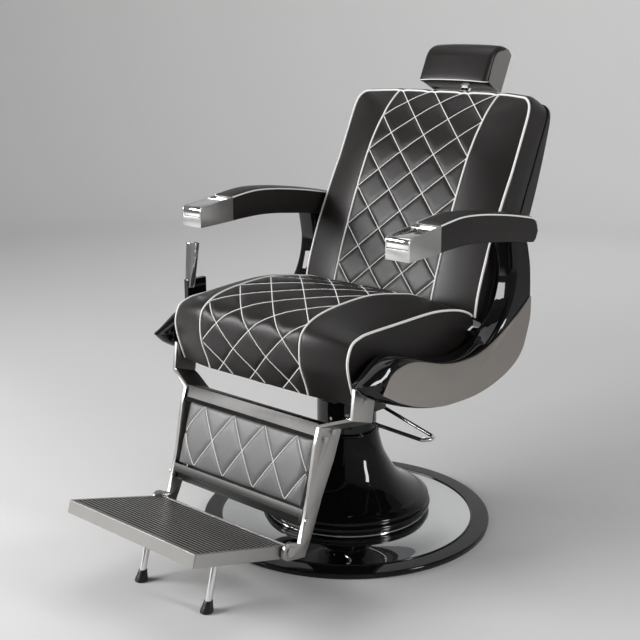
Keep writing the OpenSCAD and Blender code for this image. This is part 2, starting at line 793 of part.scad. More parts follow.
module seat_cushion() {
    color(leather) loft(
        [for (x = pad_stations(seat_w / 2)) seat_ring(x)],
        function(i, j) on_seam(i, j, seat_w / 2)
    );
}

// Side shells: a moulded body that thins at its edges and draws back at the nose
function shell_outline() = place(
    concat(
        [for (k = [len(shell_rear_shares) - 1 : -1 : 0]) shell_rear_shares[k]],
        [for (k = [len(shell_top_shares) - 1 : -1 : 0]) shell_top_shares[k]]
    ),
    [shell_nose_y, shell_z], [shell_l, shell_h]
);
function nose_drawn(path, pull) = [for (p = path)
    let (s = max(0, (shell_nose_y + nose_reach_share * shell_l - p[0]) / (nose_reach_share * shell_l)))
    [p[0] + pull * s * s, p[1]]];

// The post stops under the arm rest, on the slope of the pad's underside
function under_arm(path) = [for (p = path)
    [p[0], min(p[1], arm_z + arm_h * arm_bottom_at((p[0] - pad_front_y) / arm_pad_l) - gap)]];

module shell_body() {
    depth = shell_t - panel_t;
    loft([for (s = shell_section_shares)
        let (edge = drawn_in(shell_outline(), s[1] * shell_edge_r))
        standing(under_arm(nose_drawn(edge, s[2] * nose_pull)), shell_in + s[0] * depth)], zipped = true);
}

module side_shell() {
    difference() {
        shell_body();
        bar_along_x(shell_in - cut, leg_pin_bite + cut, leg_pin_r + fit, leg_y, leg_z);
        bar_along_x(shell_in - cut, leg_pin_bite + cut, hinge_pin_r + fit, hinge_y, hinge_z);
    }
}

module shell_left() {
    color(gloss_black) side_shell();
}

module shell_right() {
    half = tilt_lever_t / 2 + tilt_slot_play;
    color(gloss_black) mirror([1, 0, 0]) difference() {
        side_shell();
        block(
            [tilt_x() - half, tilt_lever_y - arm_w / 2 - tilt_hub_r, tilt_lever_z - tilt_hub_r - cut],
            [tilt_x() + half, tilt_lever_y + tilt_hub_r + tilt_slot_play, tilt_lever_z + tilt_run_z]
        );
        bar_along_x(tilt_x() - tilt_pin_l / 2, tilt_pin_l, tilt_pin_r + fit, tilt_lever_y, tilt_lever_z);
    }
}

module side_panel() {
    keys = place(concat(panel_top_shares, panel_rear_shares), [shell_nose_y, shell_z], [shell_l, shell_h]);
    along_x(shell_in + shell_t - panel_t, panel_t) polygon(keys);
}

module side_panel_left() {
    color(satin_metal) side_panel();
}

module side_panel_right() {
    color(satin_metal) mirror([1, 0, 0]) side_panel();
}

// Arm rests: a padded roll behind a metal block that holds a lidded tray
function arm_top_at(s) = lookup(s, arm_top_shares);
function arm_bottom_at(s) = lookup(s, arm_bottom_shares);

function arm_ring(s) = let (
    half = arm_w / 2 * lookup(s, arm_width_shares),
    low = arm_z + arm_h * arm_bottom_at(s),
    high = arm_z + arm_h * arm_top_at(s)
) [for (p = arm_ring_shares)
    [arm_x + p[0] * half, pad_front_y + s * arm_pad_l, low + (high - low) * p[1] + arm_crown * p[2]]];

module arm_pad() {
    last = len(arm_station_shares) - 1;
    loft([for (k = [last : -1 : 0]) arm_ring(arm_station_shares[k])]);
}

module arm_pad_left() {
    color(leather) arm_pad();
}

module arm_pad_right() {
    color(leather) mirror([1, 0, 0]) arm_pad();
}

// The block's outline in Y and Z, drawn in by a wall where the tray lies
block_rear_y = arm_front_y + block_l;
function block_top(y) = arm_z + block_front_h + (block_rear_h - block_front_h) * (y - arm_front_y) / block_l;
lid_axis_y = block_rear_y - lid_axis_inset;
function lid_axis() = [lid_axis_y, block_top(lid_axis_y) - lid_knuckle_r - gap];

module block_outline(inset) {
    polygon(concat(
        [[arm_front_y + inset, arm_z], [block_rear_y - inset, arm_z + block_front_drop]],
        [[block_rear_y - inset, block_top(block_rear_y) - inset]],
        arc_points(
            [arm_front_y + block_nose_r, block_top(arm_front_y + block_nose_r) - block_nose_r],
            block_nose_r - inset, block_nose_turn, 180, 8
        )
    ));
}

module arm_block() {
    inner = arm_w / 2 - block_wall;
    lip_z = block_top(arm_front_y) - lid_lip_h;
    difference() {
        along_x(arm_x - arm_w / 2, arm_w) block_outline(0);
        block(
            [arm_x - inner, arm_front_y + block_wall, arm_z + tray_floor_t],
            [arm_x + inner, lid_axis()[0] + lid_knuckle_r + 4 * gap, arm_z + 2 * block_rear_h]
        );
        block(
            [arm_x - inner, arm_front_y - cut, lip_z - lid_slot],
            [arm_x + inner, arm_front_y + block_wall + cut, arm_z + 2 * block_rear_h]
        );
        bar_along_x(
            arm_x - inner, 2 * inner, scoop_r,
            block_rear_y - block_wall - scoop_r, block_top(block_rear_y) - block_wall
        );
        bar_along_x(
            arm_x - inner - block_wall / 2, 2 * inner + block_wall, lid_pin_r + fit,
            lid_axis()[0], lid_axis()[1]
        );
    }
}

module arm_block_left() {
    color(chrome) arm_block();
}

module arm_block_right() {
    color(chrome) mirror([1, 0, 0]) arm_block();
}

module tray_lid() {
    inner = arm_w / 2 - block_wall - gap;
    lip_z = block_top(arm_front_y) - lid_lip_h;
    difference() {
        union() {
            along_x(arm_x - inner, 2 * inner) intersection() {
                difference() {
                    block_outline(0);
                    block_outline(lid_t);
                }
                translate([arm_front_y - cut, lip_z])
                    square([lid_axis()[0] - arm_front_y + cut, 2 * block_rear_h]);
            }
            bar_along_x(arm_x - inner, 2 * inner, lid_knuckle_r, lid_axis()[0], lid_axis()[1]);
        }
        bar_along_x(arm_x - inner - cut, 2 * inner + 2 * cut, lid_pin_r + slip, lid_axis()[0], lid_axis()[1]);
    }
}

module tray_lid_left() {
    color(chrome) tray_lid();
}

module tray_lid_right() {
    color(chrome) mirror([1, 0, 0]) tray_lid();
}

module lid_pins() {
    half = arm_w / 2 - block_wall / 2 - gap;
    color(steel) both_sides() bar_along_x(arm_x - half, 2 * half, lid_pin_r, lid_axis()[0], lid_axis()[1]);
}

module recline_pins() {
    head_x = hinge_plate_x - hinge_head_t;
    color(steel) both_sides() {
        bar_along_x(head_x, hinge_head_t, hinge_head_r, hinge_y, hinge_z);
        bar_along_x(head_x, shell_in + leg_pin_bite - gap - head_x, hinge_pin_r, hinge_y, hinge_z);
    }
}

module leg_pivots() {
    head_x = shell_in - gap - bar_t - gap - leg_head_t;
    color(steel) both_sides() {
        bar_along_x(head_x, leg_head_t, leg_head_r, leg_y, leg_z);
        bar_along_x(head_x, shell_in + leg_pin_bite - gap - head_x, leg_pin_r, leg_y, leg_z);
    }
}

// Recline lever, in the right shell
function tilt_x() = arm_x - tilt_lever_t / 2;
tilt_foot = [tilt_lever_y + tilt_run_y, tilt_lever_z + tilt_run_z];

module recline_lever() {
    color(chrome) mirror([1, 0, 0]) along_x(tilt_x() - tilt_lever_t / 2, tilt_lever_t) difference() {
        union() {
            hull() {
                translate([tilt_lever_y, tilt_lever_z]) circle(r = tilt_lever_w / 2, $fn = 32);
                translate(tilt_foot) circle(r = tilt_lever_w / 2, $fn = 32);
            }
            translate([tilt_lever_y, tilt_lever_z]) circle(r = tilt_hub_r, $fn = 48);
        }
        translate([tilt_lever_y, tilt_lever_z]) circle(r = tilt_pin_r + slip, $fn = 48);
    }
}

module lever_grip() {
    color(chrome) mirror([1, 0, 0])
        translate([tilt_x(), tilt_foot[0], tilt_foot[1] + tilt_lever_w / 2])
            rotate([-atan2(grip_lean_y, grip_l), 0, 0]) rotate_extrude($fn = 48) polygon(concat(
                [[0, 0], [grip_foot_r - ring_edge_r, 0]],
                arc_points([grip_foot_r - ring_edge_r, ring_edge_r], ring_edge_r, -60, 0, 3),
                arc_points([grip_top_r - ring_edge_r, grip_l - ring_edge_r], ring_edge_r, 0, 90, 5),
                [[0, grip_l]]
            ));
}

module lever_pin() {
    color(steel) mirror([1, 0, 0])
        bar_along_x(
            tilt_x() - tilt_pin_l / 2 + gap, tilt_pin_l - 2 * gap, tilt_pin_r, tilt_lever_y, tilt_lever_z
        );
}

// Back rest: everything is drawn upright and leaned back about the hinge
module lean_back() {
    translate([0, hinge_y, hinge_z]) rotate([-back_tilt, 0, 0]) children();
}

function board_outline() = let (
    half = back_plate_in + hinge_plate_t,
    top = back_foot + cover_h - board_drop,
    corner = [half - back_corner_r, top - back_corner_r]
) concat(
    [[-half, back_foot], [half, back_foot]],
    arc_points(corner, back_corner_r, 0, 90, 12),
    arc_points([-corner[0], corner[1]], back_corner_r, 90, 180, 12)
);

module back_frame() {
    color("#232325") lean_back() {
        translate([0, shell_face_n - gap, 0]) rotate([90, 0, 0])
            linear_extrude(shell_face_n - board_face_n - 2 * gap) polygon(board_outline());
        both_sides() along_x(back_plate_in, hinge_plate_t) difference() {
            hull() {
                circle(r = hinge_eye_r, $fn = 48);
                translate([board_face_n + gap, hinge_pin_r]) square([back_board_t - 2 * gap, hinge_eye_r]);
            }
            circle(r = hinge_pin_r + slip, $fn = 48);
        }
        both_sides() block(
            [back_plate_in, board_face_n + gap, hinge_pin_r],
            [back_plate_in + hinge_plate_t, shell_face_n - gap, back_foot + back_strap_l]
        );
    }
}

function back_top(x) = let (over = max(0, abs(x) - (back_w / 2 - back_corner_r)))
    back_foot + back_h - (back_corner_r - sqrt(pow(back_corner_r, 2) - pow(over, 2)));
function shortened(path, full, top) = [for (p = path)
    [p[0], back_foot + (p[1] - back_foot) * (top - back_foot) / (full - back_foot)]];

function back_ring(x) = let (
    origin = [board_face_n, back_foot],
    size = [-back_cushion_t, back_h],
    keys = mix(back_middle_shares, back_side_shares, roll_share(x, back_w / 2))
) standing(shortened(concat(
    [[board_face_n, back_foot]],
    [for (p = quilted(resample(curve(place(keys, origin, size), 4), quilt_rows), x))
        [min(p[0], board_face_n), p[1]]]
), back_foot + back_h, back_top(x)), x);

module back_cushion() {
    color(leather) lean_back() loft(
        [for (x = pad_stations(back_w / 2)) back_ring(x)],
        function(i, j) on_seam(i, j - 1, back_w / 2)
    );
}

function cover_ring(s) = let (
    x = s * back_w / 2,
    round = lookup(abs(s), cover_round_shares),
    path = curve(place(cover_shares, [shell_face_n, back_foot], [rear_cover_t * round, cover_h]), 2)
) standing(shortened(concat(
    [[shell_face_n, back_foot + cover_h], [shell_face_n, back_foot]],
    path
), back_foot + back_h, back_top(x)), x);

module back_shell() {
    color(leather) lean_back() difference() {
        loft([for (s = cover_station_shares) cover_ring(s)]);
        block(
            [-bar_w / 2 - channel_play, shell_face_n - cut, bar_foot_v - channel_play],
            [bar_w / 2 + channel_play, bar_n + bar_t_head / 2 + channel_play, back_h + 2 * back_foot]
        );
        block(
            [-socket_w / 2 - gap, shell_face_n - cut, back_foot + back_h - socket_h - gap],
            [socket_w / 2 + gap, shell_face_n + socket_d + gap, back_h + 2 * back_foot]
        );
    }
}

module headrest_socket() {
    color("#232325") lean_back() difference() {
        block(
            [-socket_w / 2, shell_face_n, back_foot + back_h - socket_h],
            [socket_w / 2, shell_face_n + socket_d, back_foot + back_h]
        );
        block(
            [-bar_w / 2 - gap, shell_face_n - cut, 0],
            [bar_w / 2 + gap, bar_n + bar_t_head / 2 + gap, back_h + 2 * back_foot]
        );
    }
}

// Head rest: a flat bar with an eye, and a padded cushion in a metal cradle
module headrest_bar() {
    color(chrome) lean_back() difference() {
        union() {
            block(
                [-bar_w / 2, bar_n - bar_t_head / 2, bar_foot_v],
                [bar_w / 2, bar_n + bar_t_head / 2, head_pivot_v]
            );
            bar_along_x(-bar_w / 2, bar_w, head_eye_r, bar_n, head_pivot_v);
        }
        bar_along_x(-bar_w / 2 - cut, bar_w + 2 * cut, head_pin_r + slip, bar_n, head_pivot_v);
    }
}

module cheek_outline() {
    polygon(place(cheek_shares, [head_front_n, head_foot_v], [head_d, head_h]));
}

module headrest_shell() {
    half = head_w / 2;
    color(satin_metal) lean_back() difference() {
        union() {
            both_sides() along_x(half - cheek_t, cheek_t) cheek_outline();
            along_x(-half, head_w) intersection() {
                cheek_outline();
                translate([head_rear_n - cheek_t, 0]) square([cheek_t, 2 * back_h]);
            }
        }
        block(
            [-head_notch_w / 2, head_rear_n - cheek_t - cut, 0],
            [head_notch_w / 2, head_rear_n + cut, head_foot_v + head_notch_h]
        );
        bar_along_x(-half - cut, head_w + 2 * cut, head_pin_r + fit, bar_n, head_pivot_v);
    }
}

module headrest_cushion() {
    half = head_w / 2 - cheek_t - gap;
    color(leather) lean_back() loft([for (s = head_station_shares) let (
        path = place(head_cushion_shares, [head_front_n, head_foot_v], [head_d - head_crown / 3, head_h]),
        crown = head_crown * (1 - s * s)
    ) standing([for (p = path)
        [p[0] - crown * max(0, min(1, (bar_n - head_hollow - p[0]) / head_hollow)), p[1]]], s * half)]);
}

module headrest_pin() {
    half = head_w / 2;
    color(steel) lean_back() bar_along_x(-half, head_w, head_pin_r, bar_n, head_pivot_v);
}

// Leg rest: drawn straight down from its hinge and swung forward by the tilt
module swing_leg() {
    translate([0, leg_y, leg_z]) rotate([-leg_tilt, 0, 0]) children();
}

leg_top_x = shell_in - gap;
leg_foot_x = leg_w / 2;
function leg_places(shares) = place(shares, [0, 0], [leg_bar_w, leg_l]);

lower_bar_top_v = crossbar_top_v + crossbar_h + calf_h + 3 * calf_gap;
function leg_screws() = [
    [-leg_screw_shares[0] * leg_bar_w, -crossbar_top_v - upper_screw_drops[0]],
    [-leg_screw_shares[1] * leg_bar_w, -crossbar_top_v - upper_screw_drops[1]],
    [-leg_screw_shares[2] * leg_bar_w, -lower_bar_top_v - lower_bar_h - lower_screw_drop]
];

module leg_outline() {
    polygon(concat(
        leg_places(leg_front_shares),
        [[-foot_pivot_w, foot_eye_r - leg_l], [-foot_pivot_w, -foot_eye_r - leg_l]],
        leg_places(leg_rear_shares)
    ));
    circle(r = leg_eye_r, $fn = 48);
    translate([-foot_pivot_w, -leg_l]) circle(r = foot_eye_r, $fn = 48);
}

module leg_strip() {
    reach = leg_l + 2 * foot_eye_r;
    polygon([
        [leg_top_x, 2 * leg_eye_r], [leg_top_x - bar_t, 2 * leg_eye_r], [leg_top_x - bar_t, -leg_bend_top],
        [leg_foot_x - bar_t, -leg_bend_foot], [leg_foot_x - bar_t, -reach], [leg_foot_x, -reach],
        [leg_foot_x, -leg_bend_foot - bar_t / 2], [leg_top_x, -leg_bend_top - bar_t / 2]
    ]);
}

module leg_arm() {
    difference() {
        intersection() {
            translate([0, leg_l, 0]) rotate([90, 0, 0]) linear_extrude(2 * leg_l) leg_strip();
            along_x(0, leg_top_x + cut) leg_outline();
        }
        bar_along_x(leg_top_x - bar_t - cut, bar_t + 2 * cut, leg_pin_r + slip, 0, 0);
        bar_along_x(leg_foot_x - bar_t - cut, bar_t + 2 * cut, foot_pin_r + fit, -foot_pivot_w, -leg_l);
        for (p = leg_screws())
            bar_along_x(leg_foot_x - bar_t - cut, bar_t + 2 * cut, leg_screw_r + fit, p[0], p[1]);
    }
}

module leg_arm_left() {
    color(frame_metal) swing_leg() leg_arm();
}

module leg_arm_right() {
    color(frame_metal) swing_leg() mirror([1, 0, 0]) leg_arm();
}

module leg_bolts() {
    color(steel) swing_leg() both_sides() for (p = leg_screws()) {
        bar_along_x(leg_foot_x, leg_screw_head_t, leg_screw_head_r, p[0], p[1]);
        bar_along_x(leg_foot_x - bar_t - crossbar_lug, bar_t + crossbar_lug, leg_screw_r, p[0], p[1]);
    }
}

// A pressed crossbar with a solid lug at each end, which the side screws enter
module crossbar(low, high) {
    inner = leg_foot_x - bar_t;
    difference() {
        union() {
            along_x(-inner, 2 * inner) children();
            both_sides() block([inner - crossbar_lug, low[0], low[1]], [inner, high[0], high[1]]);
        }
        both_sides() for (p = leg_screws())
            bar_along_x(inner - crossbar_lug - cut, crossbar_lug + 2 * cut, leg_screw_r + fit, p[0], p[1]);
    }
}

module upper_crossbar() {
    front = -crossbar_front_w;
    top = -crossbar_top_v;
    low = top - crossbar_h;
    color(frame_metal) swing_leg() crossbar([front + crossbar_t, low - crossbar_h / 2], [0, top])
        polygon([
            [0, top], [front, top], [front, low], [front - crossbar_lip, low - crossbar_lip],
            [front - crossbar_lip + crossbar_t, low - crossbar_lip],
            [front + crossbar_t, low - crossbar_t / 2], [front + crossbar_t, top - crossbar_t],
            [0, top - crossbar_t]
        ]);
}

module lower_crossbar() {
    front = -lower_bar_front_w;
    top = -lower_bar_top_v;
    low = top - lower_bar_h;
    color(frame_metal) swing_leg() crossbar([front, low - 2 * leg_screw_head_r], [front + lower_bar_h, top])
        polygon([
            [front, top], [front, low], [front + lower_bar_lip, low - lower_bar_lip],
            [front + lower_bar_lip + crossbar_t, low - lower_bar_lip], [front + crossbar_t, low],
            [0, low], [0, low + crossbar_t], [front + crossbar_t, low + crossbar_t], [front + crossbar_t, top]
        ]);
}

// The calf pad sits on a board between the two crossbars
module calf_board() {
    top = -crossbar_top_v - crossbar_t - gap;
    low = -lower_bar_top_v - lower_bar_h + crossbar_t + gap;
    rear = calf_t - calf_front_w + calf_board_t;
    color(plywood) swing_leg() block(
        [-calf_w / 2, rear - calf_board_t + gap, low],
        [calf_w / 2, rear, top]
    );
}

module calf_pad() {
    rear = calf_t - calf_front_w;
    top = -crossbar_top_v - crossbar_h - 2 * calf_gap;
    half = calf_w / 2;
    color(leather) swing_leg() loft([for (s = calf_station_shares) let (
        edge = min(1, (1 - abs(s)) / (1 - abs(calf_station_shares[2]))),
        crown = calf_crown * max(sqrt(edge), slip)
    ) standing(concat(
        [[rear, top - calf_h], [rear, top]],
        [for (k = [len(calf_row_shares) - 1 : -1 : 0]) let (t = calf_row_shares[k])
            [rear - calf_t + calf_crown - 2 * crown * sqrt(t * (1 - t)), top - calf_h + t * calf_h]]
    ), s * half)]);
}

module plate_pivots() {
    from = leg_foot_x - bar_t - plate_gap - foot_pin_l;
    color(steel) swing_leg() both_sides() {
        bar_along_x(from, leg_foot_x - from, foot_pin_r, -foot_pivot_w, -leg_l);
        bar_along_x(leg_foot_x, foot_head_t, foot_head_r, -foot_pivot_w, -leg_l);
    }
}

// Foot plate: a ribbed tread in a rim, held off the floor by two rubber-footed props
module tilt_plate() {
    translate([0, foot_y, foot_z]) rotate([-plate_tilt, 0, 0]) children();
}

plate_half = leg_w / 2 - bar_t - plate_gap;
plate_top_z = plate_t * plate_up_share;
plate_low_z = plate_top_z - plate_t;
plate_mid_y = plate_rear - plate_l / 2;

module plate_frame() {
    color(frame_metal) tilt_plate() difference() {
        translate([0, plate_mid_y, plate_low_z]) linear_extrude(plate_t)
            round_rect([2 * plate_half, plate_l], plate_corner_r);
        translate([0, plate_mid_y, plate_low_z - cut]) linear_extrude(plate_t + 2 * cut)
            square([2 * (plate_half - plate_rim_w), plate_l - 2 * plate_rim_w], center = true);
        both_sides() bar_along_x(plate_half - foot_pin_l, foot_pin_l + cut, foot_pin_r + slip, 0, 0);
    }
}

module tread_plate() {
    length = plate_l - 2 * plate_rim_w - 2 * gap;
    half = plate_half - plate_rim_w - gap;
    pitch = length / rib_count;
    floor_z = plate_top_z - rib_h;
    from = plate_mid_y - length / 2;
    color("#2a2a2c") tilt_plate() along_x(-half, 2 * half) polygon(concat(
        [[from, floor_z - tread_t]],
        [[from + length, floor_z - tread_t]],
        [for (k = [rib_count - 1 : -1 : 0], p = rib_outline_shares)
            [from + (k + 1 / 2) * pitch + p[0] * rib_share * pitch, floor_z + p[1] * rib_h]]
    ));
}

module prop_legs() {
    color(chrome) tilt_plate() for (side = [-1, 1])
        translate([side * prop_spread / 2, -prop_reach, -prop_drop + prop_foot_h / 2])
            cylinder(
                h = prop_drop - prop_foot_h / 2 + plate_top_z - rib_h - tread_t - gap, r = prop_d / 2, $fn = 48
            );
}

module prop_feet() {
    color(black_rubber) tilt_plate() for (side = [-1, 1])
        translate([side * prop_spread / 2, -prop_reach, -prop_drop]) difference() {
            union() {
                sphere(r = prop_foot_r, $fn = 48);
                cylinder(h = prop_foot_h, r = prop_foot_r, $fn = 48);
            }
            translate([0, 0, prop_foot_h / 2 - gap])
                cylinder(h = prop_foot_h, r = prop_d / 2 + fit, $fn = 48);
        }
}

foot_ring();
floor_mat();
base_plate();
bell_cover();
neck_ring();
pump_housing();
cylinder_tube();
gland();
flange_bolts();
lever_pins();
pump_lever();
ram();
piston();
thrust_bearing();
swivel_hub();
seat_frame();
seat_board();
seat_cushion();
shell_left();
shell_right();
side_panel_left();
side_panel_right();
arm_pad_left();
arm_pad_right();
arm_block_left();
arm_block_right();
tray_lid_left();
tray_lid_right();
lid_pins();
recline_pins();
leg_pivots();
recline_lever();
lever_grip();
lever_pin();
back_frame();
back_cushion();
back_shell();
headrest_socket();
headrest_bar();
headrest_shell();
headrest_cushion();
headrest_pin();
leg_arm_left();
leg_arm_right();
leg_bolts();
upper_crossbar();
lower_crossbar();
calf_board();
calf_pad();
plate_pivots();
plate_frame();
tread_plate();
prop_legs();
prop_feet();
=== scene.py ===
"""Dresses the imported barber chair: leather, piping, stitching, lacquer and metal around its fixed frame.

Sizes are in millimetres in the dataclasses, in the row frame, and are turned into metres when a mesh is made.
The sitter faces -Y and the sitter's left is +X.
"""

from __future__ import annotations

import json
import logging
import math
from dataclasses import dataclass, field
from enum import Enum
from typing import Callable, Sequence

import bmesh
import bpy
import numpy as np
from mathutils import Matrix, Vector

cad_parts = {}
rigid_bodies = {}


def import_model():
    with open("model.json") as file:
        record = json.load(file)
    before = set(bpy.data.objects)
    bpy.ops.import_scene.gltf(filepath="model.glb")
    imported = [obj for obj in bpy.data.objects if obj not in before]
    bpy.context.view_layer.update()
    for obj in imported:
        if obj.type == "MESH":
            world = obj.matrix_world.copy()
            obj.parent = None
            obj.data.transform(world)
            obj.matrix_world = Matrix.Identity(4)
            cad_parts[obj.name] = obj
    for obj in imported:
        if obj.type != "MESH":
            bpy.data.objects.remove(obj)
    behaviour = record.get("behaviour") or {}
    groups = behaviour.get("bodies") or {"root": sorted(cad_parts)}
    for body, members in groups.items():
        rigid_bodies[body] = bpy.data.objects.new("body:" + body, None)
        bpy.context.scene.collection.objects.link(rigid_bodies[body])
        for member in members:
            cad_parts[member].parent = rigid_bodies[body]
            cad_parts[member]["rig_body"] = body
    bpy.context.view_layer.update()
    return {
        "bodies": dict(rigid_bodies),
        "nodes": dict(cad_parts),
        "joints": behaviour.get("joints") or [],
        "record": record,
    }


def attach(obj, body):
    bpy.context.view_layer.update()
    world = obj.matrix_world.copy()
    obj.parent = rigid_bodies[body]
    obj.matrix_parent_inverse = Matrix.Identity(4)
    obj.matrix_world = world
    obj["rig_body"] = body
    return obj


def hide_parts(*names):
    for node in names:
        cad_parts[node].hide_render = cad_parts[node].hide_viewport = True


LOG = logging.getLogger("barber_chair")
MM = 0.001
Shares = Sequence[Sequence[float]]
Place = Sequence[float]
Pose = Callable[[np.ndarray], np.ndarray]


# Curves and rings


def spline(keys: Shares, steps: int) -> np.ndarray:
    """Points on a smooth curve through key points.

    Args:
        keys: The key points, of any dimension.
        steps: Points made for each stretch between two keys.

    Returns:
        The points, one to a row, from the first key to the last.
    """
    k = np.asarray(keys, float)
    n = len(k)
    near = np.arange(-1, n + 1).clip(0, n - 1)
    t = (np.arange(steps) / steps)[:, None]
    rows = []
    for i in range(n - 1):
        a, b, c, d = k[near[i : i + 4]]
        bend, twist = 2 * a - 5 * b + 4 * c - d, 3 * b - a - 3 * c + d
        rows.append((2 * b + (c - a) * t + bend * t**2 + twist * t**3) / 2)
    return np.concatenate([*rows, k[-1:]])


def resampled(path: np.ndarray, count: int) -> np.ndarray:
    """Cuts a path again at even steps of its length.

    Args:
        path: The points.
        count: How many points come out.

    Returns:
        The new points.
    """
    run = np.r_[0, np.cumsum(np.linalg.norm(np.diff(path, axis=0), axis=1))]
    at = np.linspace(0, 1, count) * run[-1]
    return np.stack([np.interp(at, run, path[:, k]) for k in range(path.shape[1])], 1)


def by_key(path: np.ndarray, count: int) -> np.ndarray:
    """Cuts a path again at even steps of its points."""
    at = np.linspace(0, len(path) - 1, count)
    return np.stack([np.interp(at, np.arange(len(path)), path[:, k]) for k in range(path.shape[1])], 1)


def read(table: np.ndarray, at: float | np.ndarray) -> float | np.ndarray:
    """The value at a place in a table of pairs, on straight lines between them."""
    return np.interp(at, table[:, 0], table[:, 1])


def smoothed(path: np.ndarray, times: int) -> np.ndarray:
    """A path with its corners eased."""
    out = path.copy()
    for _ in range(times):
        out[1:-1] = (out[:-2] + 2 * out[1:-1] + out[2:]) / 4
    return out


def placed(shares: Shares, origin: Place, size: Place) -> np.ndarray:
    """Shares of a box turned into places."""
    return np.asarray(origin, float) + np.asarray(shares, float) * np.asarray(size, float)


def at_height(points: np.ndarray, height: float) -> np.ndarray:
    """Points in X and Y, all put at one height."""
    return np.column_stack([points, np.full(len(points), height)])


def at_station(points: np.ndarray, station: float) -> np.ndarray:
    """Points in Y and Z, all put at one place along X."""
    return np.column_stack([np.full(len(points), station), points])


def drawn_in(path: np.ndarray, depth: float | np.ndarray) -> np.ndarray:
    """An anticlockwise closed outline drawn in by a distance."""
    step = np.roll(path, -1, 0) - np.roll(path, 1, 0)
    length = np.maximum(np.linalg.norm(step, axis=1), 1e-6)[:, None]
    inward = np.stack([-step[:, 1], step[:, 0]], 1) / length
    return path + inward * np.asarray(depth).reshape(-1, 1)


def rounded(low: Place, high: Place, radius: float) -> np.ndarray:
    """A rectangle with round corners, anticlockwise, between two corners."""
    out = []
    ends = (high[0], high[1]), (low[0], high[1]), (low[0], low[1]), (high[0], low[1])
    for k, (x, y) in enumerate(ends):
        a = np.radians(np.linspace(90 * k, 90 * k + 90, 7))
        middle = (x - math.copysign(radius, x - low[0] - 1e-6), y - math.copysign(radius, y - low[1] - 1e-6))
        out.append(np.column_stack([middle[0] + radius * np.cos(a), middle[1] + radius * np.sin(a)]))
    return np.concatenate(out)


def unmoved(points: np.ndarray) -> np.ndarray:
    """Points that already lie in the row frame."""
    return points


def turned(points: np.ndarray, pivot: Place, degrees: float) -> np.ndarray:
    """Points turned about an axis along X through a pivot in Y and Z; their own origin goes to the pivot."""
    a = math.radians(degrees)
    y, z = points[..., 1], points[..., 2]
    out = points.copy()
    out[..., 1] = pivot[0] + y * math.cos(a) - z * math.sin(a)
    out[..., 2] = pivot[1] + y * math.sin(a) + z * math.cos(a)
    return out


@dataclass(frozen=True)
class Lean:
    """How an upright sub-assembly leans back about its hinge.

    Attributes:
        hinge: The hinge's place in Y and Z.
        degrees: The lean.
    """

    hinge: tuple[float, float]
    degrees: float

    def __call__(self, points: np.ndarray) -> np.ndarray:
        """Puts points of the upright sub-assembly in the row frame."""
        return turned(points, self.hinge, -self.degrees)

    def matrix(self) -> Matrix:
        """The same lean as a matrix in metres."""
        place = Matrix.Translation((0, self.hinge[0] * MM, self.hinge[1] * MM))
        return place @ Matrix.Rotation(-math.radians(self.degrees), 4, "X")


BACK_LEAN = Lean((165.0, 455.0), 25.0)
LEG_LEAN = Lean((-245.0, 432.0), 17.5)
PLATE_LEAN = Lean((-411.96, 113.99), 15.5)


# Finishes


class Finish(Enum):
    """Every finish on the chair."""

    LEATHER = "dark_leather"
    CALF = "calf_leather_painted_sheen"
    PIPING = "pale_piping"
    THREAD = "pale_thread"
    LACQUER = "black_lacquer"
    CHROME = "mirror_chrome"
    NICKEL = "brushed_nickel"
    MIRROR = "polished_plate"
    STEEL = "plain_steel"
    PAINT = "frame_paint"
    PANEL = "satin_panel"
    BAR = "satin_bar"
    CROSSBAR = "shaded_satin_crossbar"
    TREAD = "tread_ribs"
    GROOVE = "tread_grooves"
    WOOD = "black_plywood"
    RUBBER = "black_rubber"


@dataclass(frozen=True)
class Look:
    """The numbers of one finish.

    Attributes:
        colour: Main colour, linear.
        second: Colour of its darker or worn places.
        metal: How metallic it is.
        rough: Lowest and highest roughness.
        grain: Grain size in millimetres.
        relief: Height of the grain in millimetres.
        stretch: How long the grain is drawn along X.
        wear: How much edges are worn towards the second colour.
        dust: How much dust lies on faces that look up.
        rounding: Radius by which hard edges are softened in shading, in millimetres.
        specular: Specular level.
    """

    colour: tuple[float, float, float]
    second: tuple[float, float, float]
    metal: float = 0.0
    rough: tuple[float, float] = (0.4, 0.5)
    grain: float = 1.2
    relief: float = 0.0
    stretch: float = 1.0
    wear: float = 0.0
    dust: float = 0.0
    rounding: float = 0.0
    specular: float = 0.5


